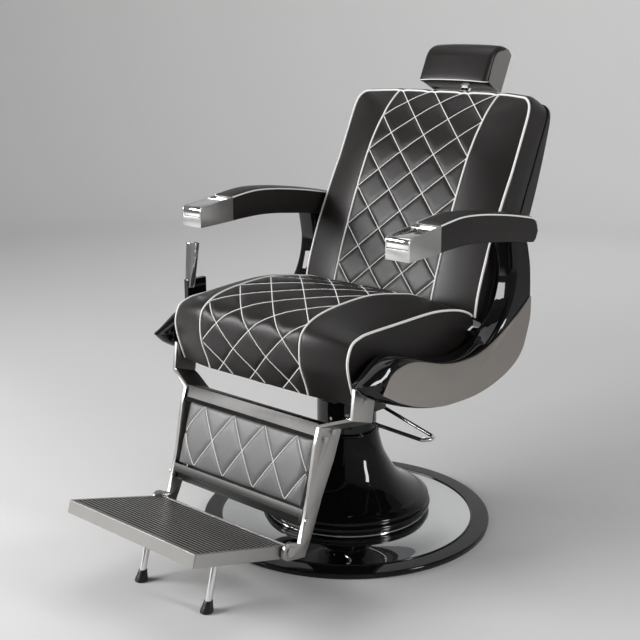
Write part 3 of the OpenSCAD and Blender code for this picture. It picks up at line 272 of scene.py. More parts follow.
LOOKS: dict[Finish, Look] = {
    Finish.LEATHER: Look(
        (0.0095, 0.0072, 0.0067), (0.0145, 0.0115, 0.0105), rough=(0.35, 0.44), grain=1.5, relief=0.11,
        specular=0.42),
    # Calf pad: the same dark leather painted about ten times lighter, with a lighter second colour too; this
    # is a painted sheen standing in for the key lamp's reflection off the pad.
    Finish.CALF: Look(
        (0.10, 0.10, 0.101), (0.155, 0.155, 0.155), rough=(0.40, 0.50), grain=1.2, relief=0.15, specular=0.8),
    Finish.PIPING: Look((0.93, 0.925, 0.91), (0.82, 0.81, 0.78), rough=(0.42, 0.55), grain=0.9, relief=0.04),
    Finish.THREAD: Look((0.90, 0.89, 0.87), (0.78, 0.76, 0.73), rough=(0.55, 0.7), grain=0.5, relief=0.06),
    Finish.LACQUER: Look(
        (0.0025, 0.0025, 0.003), (0.005, 0.005, 0.0055), rough=(0.02, 0.045), grain=40, dust=0.015,
        rounding=0.8, specular=0.36),
    Finish.CHROME: Look(
        (0.80, 0.80, 0.80), (0.66, 0.655, 0.65), metal=1, rough=(0.04, 0.09), grain=30, dust=0.02,
        rounding=0.5),
    Finish.NICKEL: Look(
        (0.58, 0.575, 0.565), (0.53, 0.525, 0.515), metal=1, rough=(0.27, 0.33), grain=20, dust=0.02,
        rounding=0.5),
    Finish.MIRROR: Look(
        (0.78, 0.79, 0.80), (0.74, 0.745, 0.75), metal=1, rough=(0.015, 0.035), grain=60, dust=0.01),
    Finish.STEEL: Look(
        (0.52, 0.52, 0.52), (0.36, 0.35, 0.34), metal=1, rough=(0.22, 0.36), grain=0.6, relief=0.01,
        stretch=6, wear=0.2, rounding=0.4),
    Finish.PAINT: Look(
        (0.012, 0.012, 0.013), (0.05, 0.05, 0.052), rough=(0.3, 0.42), grain=0.8, relief=0.02, wear=0.3,
        dust=0.06, rounding=0.8),
    Finish.PANEL: Look(
        (0.43, 0.40, 0.375), (0.36, 0.335, 0.315), metal=1, rough=(0.34, 0.42), grain=0.5, relief=0.004,
        wear=0.2, rounding=0.6),
    Finish.BAR: Look(
        (0.46, 0.447, 0.433), (0.41, 0.397, 0.383), metal=1, rough=(0.30, 0.36), grain=0.35, relief=0.002,
        stretch=16, rounding=0.5),
    # Crossbars: the leg arms' satin metal painted about eight times darker, a painted shade that holds back
    # the key lamp's reflection on their faces.
    Finish.CROSSBAR: Look(
        (0.055, 0.054, 0.053), (0.045, 0.044, 0.043), metal=1, rough=(0.38, 0.44), grain=0.35, relief=0.002,
        stretch=16, rounding=0.5),
    Finish.TREAD: Look(
        (0.33, 0.325, 0.32), (0.28, 0.275, 0.27), metal=1, rough=(0.30, 0.42), grain=0.5, relief=0.004,
        stretch=14, dust=0.03),
    Finish.GROOVE: Look(
        (0.006, 0.006, 0.006), (0.012, 0.012, 0.012), rough=(0.6, 0.75), grain=0.7, relief=0.02, stretch=10,
        specular=0.06),
    Finish.WOOD: Look(
        (0.022, 0.019, 0.017), (0.010, 0.009, 0.008), rough=(0.55, 0.7), grain=2.5, relief=0.05, stretch=14),
    Finish.RUBBER: Look(
        (0.006, 0.006, 0.006), (0.012, 0.012, 0.012), rough=(0.3, 0.42), grain=0.6, relief=0.02, dust=0.06,
        rounding=0.8),
}

HIDES = (Finish.LEATHER, Finish.CALF, Finish.PIPING)
DUST_COLOUR = (0.42, 0.40, 0.37, 1)


class Graph:
    """A node tree that is being wired."""

    def __init__(self, tree: bpy.types.NodeTree) -> None:
        """Takes an empty tree."""
        self.tree = tree

    def add(self, kind: str, inputs: dict[str | int, object] | None = None,
            **settings: object) -> bpy.types.Node:
        """Adds a node.

        Args:
            kind: The node's type, without its ShaderNode prefix.
            inputs: Values or output sockets for its inputs, by name or place.
            settings: The node's own properties.

        Returns:
            The node.
        """
        node = self.tree.nodes.new(kind if kind.startswith("Node") else "ShaderNode" + kind)
        for name, value in settings.items():
            setattr(node, name, value)
        for key, value in (inputs or {}).items():
            if isinstance(value, bpy.types.NodeSocket):
                self.tree.links.new(value, node.inputs[key])
            else:
                node.inputs[key].default_value = value
        return node

    def math(self, how: str, a: object, b: object = 0.0, clamp: bool = False) -> bpy.types.NodeSocket:
        """A Math node's output."""
        return self.add("Math", {0: a, 1: b}, operation=how, use_clamp=clamp).outputs[0]

    def blend(self, share: object, a: object, b: object) -> bpy.types.NodeSocket:
        """A colour between two, by a share."""
        return self.add("Mix", {0: share, 6: a, 7: b}, data_type="RGBA").outputs[2]

    def range(self, value: object, low: float, high: float, to_low: object = 0.0,
              to_high: object = 1.0) -> bpy.types.NodeSocket:
        """A value moved from one range into another and held there."""
        return self.add("MapRange", {0: value, 1: low, 2: high, 3: to_low, 4: to_high}).outputs[0]

    def noise(self, place: object, scale: object, detail: float, **more: float) -> bpy.types.NodeSocket:
        """A Noise Texture's grey output."""
        inputs = {"Vector": place, "Scale": scale, "Detail": detail}
        return self.add("TexNoise", inputs | {k.capitalize(): v for k, v in more.items()}).outputs["Fac"]

    def join(self, source: bpy.types.NodeSocket, target: bpy.types.NodeSocket) -> None:
        """Links two sockets."""
        self.tree.links.new(source, target)


class FinishShop:
    """Makes the shader node groups once and every material from them."""

    def __init__(self) -> None:
        """Makes the groups."""
        self.groups = {
            "hide_grain": self.hide_grain(),
            "streaks": self.streaks(),
            "uneven_gloss": self.uneven_gloss(),
            "worn_edges": self.worn_edges(),
            "settled_dust": self.settled_dust(),
        }
        self.made: dict[Finish, bpy.types.Material] = {}

    @staticmethod
    def group(name: str, inputs: dict[str, float],
              outputs: Sequence[str]) -> tuple[Graph, bpy.types.NodeInputs, bpy.types.NodeOutputs]:
        """An empty group of float sockets.

        Args:
            name: The group's name.
            inputs: Its inputs' names and values.
            outputs: Its outputs' names.

        Returns:
            Its graph, the sockets that its inputs arrive at and the sockets that its outputs leave from.
        """
        tree = bpy.data.node_groups.new(name, "ShaderNodeTree")
        for label, value in inputs.items():
            socket = tree.interface.new_socket(name=label, in_out="INPUT", socket_type="NodeSocketFloat")
            socket.default_value = value
        for label in outputs:
            tree.interface.new_socket(name=label, in_out="OUTPUT", socket_type="NodeSocketFloat")
        graph = Graph(tree)
        return graph, graph.add("NodeGroupInput").outputs, graph.add("NodeGroupOutput").inputs

    def hide_grain(self) -> bpy.types.NodeTree:
        """Leather's pebbles, the creases between them and a slow unevenness."""
        g, given, result = self.group("hide grain", {"Cell mm": 1.5}, ("Height", "Crease"))
        place = g.add("TexCoord").outputs["Object"]
        scale = g.math("DIVIDE", 1000.0, given["Cell mm"])
        warp = g.add("TexNoise", {"Vector": place, "Scale": 90.0, "Detail": 2.0}).outputs["Color"]
        reach = (0.004, 0.004, 0.004)
        bent = g.add("VectorMath", {0: warp, 1: reach, 2: place}, operation="MULTIPLY_ADD").outputs[0]
        cells = g.add("TexVoronoi", {"Vector": bent, "Scale": scale}, feature="DISTANCE_TO_EDGE")
        pebble = g.range(cells.outputs["Distance"], 0.0, 0.22)
        fine = g.noise(place, g.math("MULTIPLY", scale, 2.2), 3.0)
        slow = g.noise(place, 22.0, 3.0)
        height = g.math("ADD", g.math("MULTIPLY", pebble, 0.6), g.math("MULTIPLY", fine, 0.4))
        g.join(g.math("ADD", height, g.math("MULTIPLY", slow, 1.2)), result["Height"])
        g.join(g.math("SUBTRACT", 1.0, pebble, clamp=True), result["Crease"])
        return g.tree

    def streaks(self) -> bpy.types.NodeTree:
        """A fine grain that can be drawn out along X, as brushing, fibres or a casting's skin."""
        g, given, result = self.group("streaks", {"Size mm": 0.6, "Stretch": 1.0}, ("Height",))
        split = g.add("SeparateXYZ", {0: g.add("TexCoord").outputs["Object"]}).outputs
        along = g.math("DIVIDE", split[0], given["Stretch"])
        place = g.add("CombineXYZ", {0: along, 1: split[1], 2: split[2]}).outputs[0]
        scale = g.math("DIVIDE", 1000.0, given["Size mm"])
        g.join(g.noise(place, scale, 4.0, roughness=0.6), result["Height"])
        return g.tree

    def uneven_gloss(self) -> bpy.types.NodeTree:
        """Roughness that drifts over the surface, with faint wiping marks."""
        g, given, result = self.group("uneven gloss", {"Low": 0.1, "High": 0.2}, ("Roughness",))
        place = g.add("TexCoord").outputs["Object"]
        cloud = g.noise(place, 9.0, 4.0, roughness=0.55)
        marks = g.noise(place, 65.0, 2.0, distortion=0.8)
        both = g.math("ADD", g.math("MULTIPLY", cloud, 0.7), g.math("MULTIPLY", marks, 0.3))
        g.join(g.range(both, 0.32, 0.68, given["Low"], given["High"]), result["Roughness"])
        return g.tree

    def worn_edges(self) -> bpy.types.NodeTree:
        """A mask of the places where an outer edge has been rubbed."""
        g, given, result = self.group("worn edges", {"Amount": 0.3}, ("Mask",))
        sharp = g.range(g.add("NewGeometry").outputs["Pointiness"], 0.52, 0.62)
        place = g.add("TexCoord").outputs["Object"]
        patches = g.range(g.noise(place, 120.0, 5.0, roughness=0.7), 0.4, 0.6, 0.2, 1.0)
        g.join(g.math("MULTIPLY", g.math("MULTIPLY", sharp, patches), given["Amount"]), result["Mask"])
        return g.tree

    def settled_dust(self) -> bpy.types.NodeTree:
        """A mask of the thin dust on faces that look up."""
        g, given, result = self.group("settled dust", {"Amount": 0.1}, ("Mask",))
        up = g.add("SeparateXYZ", {0: g.add("NewGeometry").outputs["Normal"]}).outputs[2]
        place = g.add("TexCoord").outputs["Object"]
        specks = g.noise(place, 240.0, 6.0, roughness=0.7)
        mask = g.math("MULTIPLY", g.range(up, 0.5, 1.0), g.range(specks, 0.45, 0.75))
        g.join(g.math("MULTIPLY", mask, given["Amount"]), result["Mask"])
        return g.tree

    def use(self, g: Graph, name: str, inputs: dict[str | int, object]) -> bpy.types.Node:
        """Places one of the groups in a material."""
        node = g.add("Group")
        node.node_tree = self.groups[name]
        for key, value in inputs.items():
            node.inputs[key].default_value = value
        return node

    def material(self, finish: Finish) -> bpy.types.Material:
        """The material of a finish, made the first time that it is asked for.

        Args:
            finish: Which finish.

        Returns:
            The material.
        """
        if finish in self.made:
            return self.made[finish]
        look = LOOKS[finish]
        material = bpy.data.materials.new(finish.value)
        material.use_nodes = True
        material.node_tree.nodes.clear()
        g = Graph(material.node_tree)
        shader = g.add("BsdfPrincipled", {"Metallic": look.metal, "Specular IOR Level": look.specular})
        if finish in HIDES:
            grain = self.use(g, "hide_grain", {"Cell mm": look.grain})
            tint = grain.outputs["Crease"]
            height = grain.outputs["Height"]
        else:
            streaks = self.use(g, "streaks", {"Size mm": look.grain, "Stretch": look.stretch})
            height = streaks.outputs["Height"]
            tint = g.range(height, 0.35, 0.65)
        colour = g.blend(g.math("MULTIPLY", tint, 0.45), (*look.colour, 1), (*look.second, 1))
        if look.wear:
            worn = tuple(min(1.0, c * 1.6 + 0.02) for c in look.colour)
            mask = self.use(g, "worn_edges", {"Amount": look.wear}).outputs["Mask"]
            colour = g.blend(mask, colour, (*worn, 1))
        if look.dust:
            mask = self.use(g, "settled_dust", {"Amount": look.dust}).outputs["Mask"]
            colour = g.blend(mask, colour, DUST_COLOUR)
        low, high = look.rough
        gloss = self.use(g, "uneven_gloss", {"Low": low, "High": high}).outputs["Roughness"]
        g.join(colour, shader.inputs["Base Color"])
        g.join(gloss, shader.inputs["Roughness"])
        normal = None
        if look.rounding:
            normal = g.add("Bevel", {"Radius": look.rounding * MM}, samples=4).outputs[0]
        if look.relief:
            bump = g.add("Bump", {"Strength": 0.8, "Distance": look.relief * MM, "Height": height})
            if normal is not None:
                g.join(normal, bump.inputs["Normal"])
            normal = bump.outputs[0]
        if normal is not None:
            g.join(normal, shader.inputs["Normal"])
        out = g.add("OutputMaterial")
        g.join(shader.outputs[0], out.inputs[0])
        self.made[finish] = material
        return material


# Making pieces


def linked(name: str, data: bpy.types.ID) -> bpy.types.Object:
    """A new object in the scene."""
    thing = bpy.data.objects.new(name, data)
    bpy.context.scene.collection.objects.link(thing)
    return thing


def ring_faces(rings: int, points: int) -> np.ndarray:
    """The quads between closed rings of points."""
    i, j = np.meshgrid(np.arange(rings - 1), np.arange(points), indexing="ij")
    a, b = (i * points + j).ravel(), (i * points + (j + 1) % points).ravel()
    return np.stack([a, b, b + points, a + points], 1)


def outward_mesh(name: str, points: np.ndarray, faces: Sequence[Sequence[int]]) -> bpy.types.Mesh:
    """A mesh from points in millimetres, with every face looking outward."""
    mesh = bpy.data.meshes.new(name)
    corners_m = np.asarray(points).reshape(-1, 3) * MM
    mesh.from_pydata(corners_m.tolist(), [], [tuple(map(int, f)) for f in faces])
    mesh.validate()
    built = bmesh.new()
    built.from_mesh(mesh)
    bmesh.ops.recalc_face_normals(built, faces=built.faces)
    built.to_mesh(mesh)
    built.free()
    return mesh


class Workshop:
    """Makes mesh objects, gives them a finish and rides them on the frame.

    Attributes:
        WELD: Distance in metres under which a CAD copy's points are joined.
        FLAT: Angle in degrees under which its faces are merged.
        EDGE: Angle over which its edges are rounded.
        SHARP: Angle over which an edge stays sharp in shading.
        FACETS: Facets across a rounding.
        TURNS: Steps in a turned piece.
    """

    WELD = 2e-6
    FLAT = 0.6
    EDGE = 32.0
    SHARP = 30.0
    FACETS = 2
    TURNS = 192

    def __init__(self, frame: dict, shop: FinishShop) -> None:
        """Takes the loaded frame and the finishes."""
        self.frame = frame
        self.shop = shop
        self.dressed: set[str] = set()

    def piece(self, name: str, points: np.ndarray, faces: Sequence[Sequence[int]], finish: Finish, body: str,
              replaces: Sequence[str] = (), smooth: float = 40.0) -> bpy.types.Object:
        """A mesh object that rides on a body.

        Args:
            name: The piece's name.
            points: Its corners in millimetres.
            faces: Its faces.
            finish: Its finish.
            body: The CAD body that it rides on.
            replaces: The CAD nodes that it stands for.
            smooth: The angle in degrees under which edges are shaded smooth.

        Returns:
            The object.
        """
        mesh = outward_mesh(name, points, faces)
        mesh.set_sharp_from_angle(angle=math.radians(smooth))
        return self.finished(linked(name, mesh), finish, body, replaces)

    def finished(self, thing: bpy.types.Object, finish: Finish, body: str,
                 replaces: Sequence[str]) -> bpy.types.Object:
        """Gives an object its finish, its body and the nodes that it stands for."""
        thing.data.materials.clear()
        thing.data.materials.append(self.shop.material(finish))
        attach(thing, body)
        if replaces:
            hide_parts(*replaces)
            self.dressed.update(replaces)
        LOG.info("%s: %d faces, rides on %s", thing.name, len(thing.data.polygons), body)
        return thing

    def grid(self, name: str, rows: np.ndarray, finish: Finish, body: str, replaces: Sequence[str] = (),
             capped: bool = True, smooth: float = 40.0, strips: bool = False) -> bpy.types.Object:
        """A surface through closed rings of points.

        Args:
            name: The piece's name.
            rows: The rings, as an array of ring, point and axis.
            finish: Its finish.
            body: The body it rides on.
            replaces: The nodes it stands for.
            capped: Whether the first and last rings are filled.
            smooth: The angle under which edges are shaded smooth.
            strips: Whether a cap is a strip between the two halves of its ring, for a hollow outline.

        Returns:
            The object.
        """
        m, n = rows.shape[:2]
        faces: list[Sequence[int]] = ring_faces(m, n).tolist()
        if capped:
            cap = [list(range(n))]
            if strips:
                cap = [[k, k + 1, n - 2 - k, n - 1 - k] for k in range(n // 2 - 1)]
            faces += [f[::-1] for f in cap] + [[(m - 1) * n + k for k in f] for f in cap]
        return self.piece(name, rows, faces, finish, body, replaces, smooth)

    def lathe(self, name: str, profile: np.ndarray, finish: Finish, replaces: str) -> bpy.types.Object:
        """A closed profile in radius and height turned about the column's axis, on the base."""
        a = np.linspace(0, 2 * math.pi, self.TURNS, endpoint=False)
        r, z = profile[:, 0], profile[:, 1]
        rings = np.stack([np.outer(np.cos(a), r), np.outer(np.sin(a), r), np.tile(z, (self.TURNS, 1))], 2)
        whole = np.concatenate([rings, rings[:1]])
        return self.grid(name, whole, finish, "base", [replaces], capped=False, smooth=35)

    def tube(self, name: str, path: np.ndarray, radius: float | np.ndarray, finish: Finish, body: str,
             closed: bool = False, sides: int = 10) -> bpy.types.Object:
        """A round cord along a path."""
        return self.grid(name, tube_rings(path, radius, sides, closed), finish, body, capped=not closed)

    def softened(self, node: str, finish: Finish, width: float = 0.7,
                 extra: Callable[[bpy.types.Object], None] | None = None) -> bpy.types.Object:
        """A copy of a CAD node with its hard edges rounded, which stands for the node.

        Args:
            node: The node.
            finish: The copy's finish.
            width: The rounding in millimetres.
            extra: Something more to do to the copy first.

        Returns:
            The copy.
        """
        source = self.frame["nodes"][node]
        thing = linked(node + "_rounded", bpy.data.meshes.new(node + ".softened"))
        built = bmesh.new()
        built.from_mesh(source.data)
        bmesh.ops.remove_doubles(built, verts=built.verts, dist=self.WELD)
        if extra:
            built.to_mesh(thing.data)
            extra(thing)
            built.free()
            built = bmesh.new()
            built.from_mesh(thing.data)
        bmesh.ops.dissolve_limit(
            built, angle_limit=math.radians(self.FLAT), verts=built.verts, edges=built.edges)
        built.to_mesh(thing.data)
        built.free()
        rounding = thing.modifiers.new("rounding", "BEVEL")
        rounding.width = width * MM
        rounding.segments = self.FACETS
        rounding.limit_method = "ANGLE"
        rounding.angle_limit = math.radians(self.EDGE)
        rounding.use_clamp_overlap = True
        self.settle(thing)
        thing.data.set_sharp_from_angle(angle=math.radians(self.SHARP))
        return self.finished(thing, finish, source["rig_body"], [node])

    @staticmethod
    def settle(thing: bpy.types.Object) -> None:
        """Applies an object's modifiers to its mesh."""
        done = bpy.data.meshes.new_from_object(thing.evaluated_get(bpy.context.evaluated_depsgraph_get()))
        thing.modifiers.clear()
        thing.data = done

    @staticmethod
    def cut_box(thing: bpy.types.Object, low: Place, high: Place) -> None:
        """Cuts a box, given by two corners in millimetres, out of an object."""
        outline = np.array([[low[1], low[2]], [high[1], low[2]], [high[1], high[2]], [low[1], high[2]]])
        points = np.concatenate([at_station(outline, end) for end in (low[0], high[0])])
        faces = [[3, 2, 1, 0], [4, 5, 6, 7]] + [[k, (k + 1) % 4, 4 + (k + 1) % 4, 4 + k] for k in range(4)]
        cutter = linked("cutter", outward_mesh("cutter", points, faces))
        cut = thing.modifiers.new("cut", "BOOLEAN")
        cut.operation, cut.object, cut.solver = "DIFFERENCE", cutter, "EXACT"
        bpy.context.view_layer.update()
        Workshop.settle(thing)
        bpy.data.objects.remove(cutter)

    def slab(self, name: str, low: Place, high: Place, finish: Finish, body: str,
             replaces: Sequence[str] = (), radius: float = 2.0, bevel: float = 0.4,
             pose: Pose = unmoved) -> bpy.types.Object:
        """A flat piece with round corners and soft edges, lying in X and Y."""
        rows = []
        for inset, z in ((bevel, low[2]), (0, low[2] + bevel), (0, high[2] - bevel), (bevel, high[2])):
            loop = rounded((low[0] + inset, low[1] + inset), (high[0] - inset, high[1] - inset), radius)
            rows.append(at_height(loop, z))
        return self.grid(name, pose(np.array(rows)), finish, body, replaces)

    def carry_over(self, finishes: dict[str, Finish]) -> None:
        """Gives every CAD node that still shows the material of its slot."""
        for name, node in self.frame["nodes"].items():
            if name not in self.dressed:
                node.data.materials.clear()
                node.data.materials.append(self.shop.material(finishes[name]))
                LOG.info("%s: carried over as %s", name, finishes[name].value)


def tube_rings(path: np.ndarray, radius: float | np.ndarray, sides: int, closed: bool) -> np.ndarray:
    """Rings of a tube round a path, kept from twisting.

    Args:
        path: The points.
        radius: One radius, or one for each point.
        sides: Points in a ring.
        closed: Whether the path comes back to its start.

    Returns:
        An array of ring, point and axis; a closed tube has its first ring again at the end.
    """
    p = np.asarray(path, float)
    step = (np.roll(p, -1, 0) - np.roll(p, 1, 0)) if closed else np.gradient(p, axis=0)
    along = step / np.maximum(np.linalg.norm(step, axis=1), 1e-9)[:, None]
    side = np.cross(along[0], (0.31, 0.17, 0.94))
    side /= np.linalg.norm(side)
    sides_out = []
    for d in along:
        side = side - d * side.dot(d)
        side /= np.linalg.norm(side)
        sides_out.append(side.copy())
    across = np.array(sides_out)
    up = np.cross(along, across)
    if closed:
        last = across[-1] - along[0] * across[-1].dot(along[0])
        slip = math.atan2(np.cross(last, across[0]).dot(along[0]), last.dot(across[0]))
        turn = (slip * np.arange(len(p)) / len(p))[:, None]
        cos, sin = np.cos(turn), np.sin(turn)
        across, up = across * cos + up * sin, up * cos - across * sin
    a = np.linspace(0, 2 * math.pi, sides, endpoint=False)[None, :, None]
    r = np.broadcast_to(np.asarray(radius, float), (len(p),)).reshape(-1, 1, 1)
    rings = p[:, None] + r * (np.cos(a) * across[:, None] + np.sin(a) * up[:, None])
    return np.concatenate([rings, rings[:1]]) if closed else rings


@dataclass
class Quilt:
    """A soft face over a grid of stations and rows, with its sewn lines.

    Attributes:
        rings: Maps a station in millimetres to its row points in Y and Z, top to foot, evenly spaced.
        half: Half of the piece's width.
        panel: Width of the quilted panel.
        diamond: Width of one diamond.
        rise: Share of the path's length that is one diamond's height.
        shift: How far down the lattice starts, in diamonds.
        groove: Depth of a sewn line.
        puff: Height of a diamond's middle over its own edges.
        seam: Depth of the seams beside the panel.
        spread: How far a sewn line draws the leather down, in millimetres.
        fade: Share of the path at each end over which the pressing dies away.
        edge: Distance over which the lattice ends at the panel's side.
        grip: Depths of a sewn line, in millimetres, between which the leather goes from free to held.
    """

    rings: Callable[[float], np.ndarray]
    half: float
    panel: float
    diamond: float
    rise: float
    shift: float = 0.0
    groove: float = 2.6
    puff: float = 1.1
    seam: float = 2.6
    spread: float = 3.6
    fade: float = 0.03
    edge: float = 0.6
    grip: tuple[float, float] = (1.5, 2.6)
    xs: np.ndarray = field(init=False)
    dip: np.ndarray = field(init=False)
    points: np.ndarray = field(init=False)
    normals: np.ndarray = field(init=False)

    def build(self, stations: int) -> np.ndarray:
        """Makes the grid of points, pressed in along the sewn lines.

        Args:
            stations: How many stations there are across.

        Returns:
            The points as an array of station, row and axis.
        """
        self.xs = np.linspace(-self.half, self.half, stations)
        flat = np.array([at_station(self.rings(x), x) for x in self.xs])
        normal = self.outward(flat)
        self.dip = self.pressed(flat)
        self.points = flat - normal * self.dip[..., None]
        self.normals = self.outward(self.points)
        return self.points

    @staticmethod
    def outward(points: np.ndarray) -> np.ndarray:
        """Unit normals of a grid, out of the cushion."""
        across = np.gradient(points, axis=0)
        down = np.gradient(points, axis=1)
        normal = np.cross(down, across)
        return normal / np.maximum(np.linalg.norm(normal, axis=2), 1e-9)[..., None]

    def pressed(self, flat: np.ndarray) -> np.ndarray:
        """How far each point of the grid lies under the full face."""
        n = flat.shape[1]
        length = np.linalg.norm(np.diff(flat, axis=1), axis=2).sum(1)[:, None]
        x = self.xs[:, None]
        run = np.linspace(0, 1, n)[None, :]
        u, v = x / self.diamond, run / self.rise + self.shift
        tall = self.rise * length
        unit = 1 / np.sqrt(1 / self.diamond**2 + 1 / tall**2)
        off = [np.abs((u + s * v + 0.5) % 1 - 0.5) * unit for s in (1, -1)]
        near = np.minimum(*off)
        inside = 1 / (1 + np.exp((np.abs(x) - self.panel / 2) / self.edge))
        pillow = self.puff * (1 - np.clip(off[0] * off[1] * 4 / (unit * unit / 4), 0, 1) ** 0.5)
        sewn = self.groove * np.exp(-near / self.spread) + pillow
        edge = np.abs(np.abs(x) - self.panel / 2)
        beside = self.seam * np.exp(-edge / (self.spread * 0.8))
        ends = np.clip(np.minimum(run, 1 - run) / self.fade, 0, 1) if self.fade else 1 + 0 * run
        return np.maximum(inside * sewn, beside) * ends

    def sewn_down(self, tail: int) -> np.ndarray:
        """How firmly each point is held, on the sewn lines and at the edges, and then the tail's points."""
        held = np.clip((self.dip - self.grip[0]) / (self.grip[1] - self.grip[0]), 0, 1)
        run = np.linspace(0, 1, held.shape[1])[None, :]
        edge = np.minimum(run, 1 - run) < self.fade
        side = np.abs(np.abs(self.xs) - self.half)[:, None] < self.spread
        held = np.where(edge | side, 1.0, held)
        return np.concatenate([held, np.ones((len(held), tail))], 1)

    def at(self, x: np.ndarray, row: np.ndarray, lift: float) -> np.ndarray:
        """Points over the pressed face.

        Args:
            x: Stations in millimetres.
            row: Shares of the way down the rows.
            lift: Height over the face.

        Returns:
            One point for each pair.
        """
        m, n = self.points.shape[:2]
        i = np.interp(x, self.xs, np.arange(m))
        j = np.clip(row, 0, 1) * (n - 1)
        i0 = np.floor(i).astype(int).clip(0, m - 2)
        j0 = np.floor(j).astype(int).clip(0, n - 2)
        fi, fj = (i - i0)[:, None], (j - j0)[:, None]
        grid = self.points + self.normals * lift
        top = grid[i0, j0] * (1 - fi) + grid[i0 + 1, j0] * fi
        low = grid[i0, j0 + 1] * (1 - fi) + grid[i0 + 1, j0 + 1] * fi
        return top * (1 - fj) + low * fj

    def lattice(self, first: float, last: float) -> list[tuple[np.ndarray, np.ndarray]]:
        """The sewn lines of the lattice inside the panel, as stations and rows."""
        lines = []
        half = self.panel / 2
        most = int(1 / self.rise + self.panel / self.diamond) + 4
        for sign in (1, -1):
            for k in range(-most, most + 1):
                x = np.linspace(-half, half, 240)
                row = (k - sign * x / self.diamond - self.shift) * self.rise
                keep = (row >= first) & (row <= last)
                if keep.sum() > 6:
                    lines.append((x[keep], row[keep]))
        return lines


def stitched(path: np.ndarray, length: float, radius: float) -> tuple[np.ndarray, np.ndarray]:
    """A path cut finely, and radii that swell and pinch with each stitch.

    Args:
        path: The line of sewing.
        length: One stitch's length in millimetres.
        radius: The thread's radius in the middle of a stitch.

    Returns:
        The points and the radii.
    """
    total = np.linalg.norm(np.diff(path, axis=0), axis=1).sum()
    count = max(8, int(total / length) * 5)
    cut = resampled(path, count)
    phase = np.linspace(0, total / length, count) % 1
    return cut, radius * (0.62 + 0.38 * np.abs(np.sin(math.pi * phase)) ** 0.5)


def prism(outline: np.ndarray, start: float, end: float, bevel: float) -> np.ndarray:
    """Rings of a plate with soft edges, from an anticlockwise outline; X runs through the plate."""
    rings = []
    for along, inset in ((start, bevel), (start + bevel, 0.0), (end - bevel, 0.0), (end, bevel)):
        rings.append(at_station(drawn_in(outline, inset), along))
    return np.array(rings)


def joined(parts: Sequence[np.ndarray]) -> tuple[np.ndarray, list[list[int]]]:
    """Several open tubes as one set of points and faces."""
    points, faces, base = [], [], 0
    for rings in parts:
        m, n = rings.shape[:2]
        faces += (ring_faces(m, n) + base).tolist()
        faces += [[base + k for k in range(n)][::-1], [base + (m - 1) * n + k for k in range(n)]]
        points.append(rings.reshape(-1, 3))
        base += m * n
    return np.concatenate(points), faces


# Base and lift


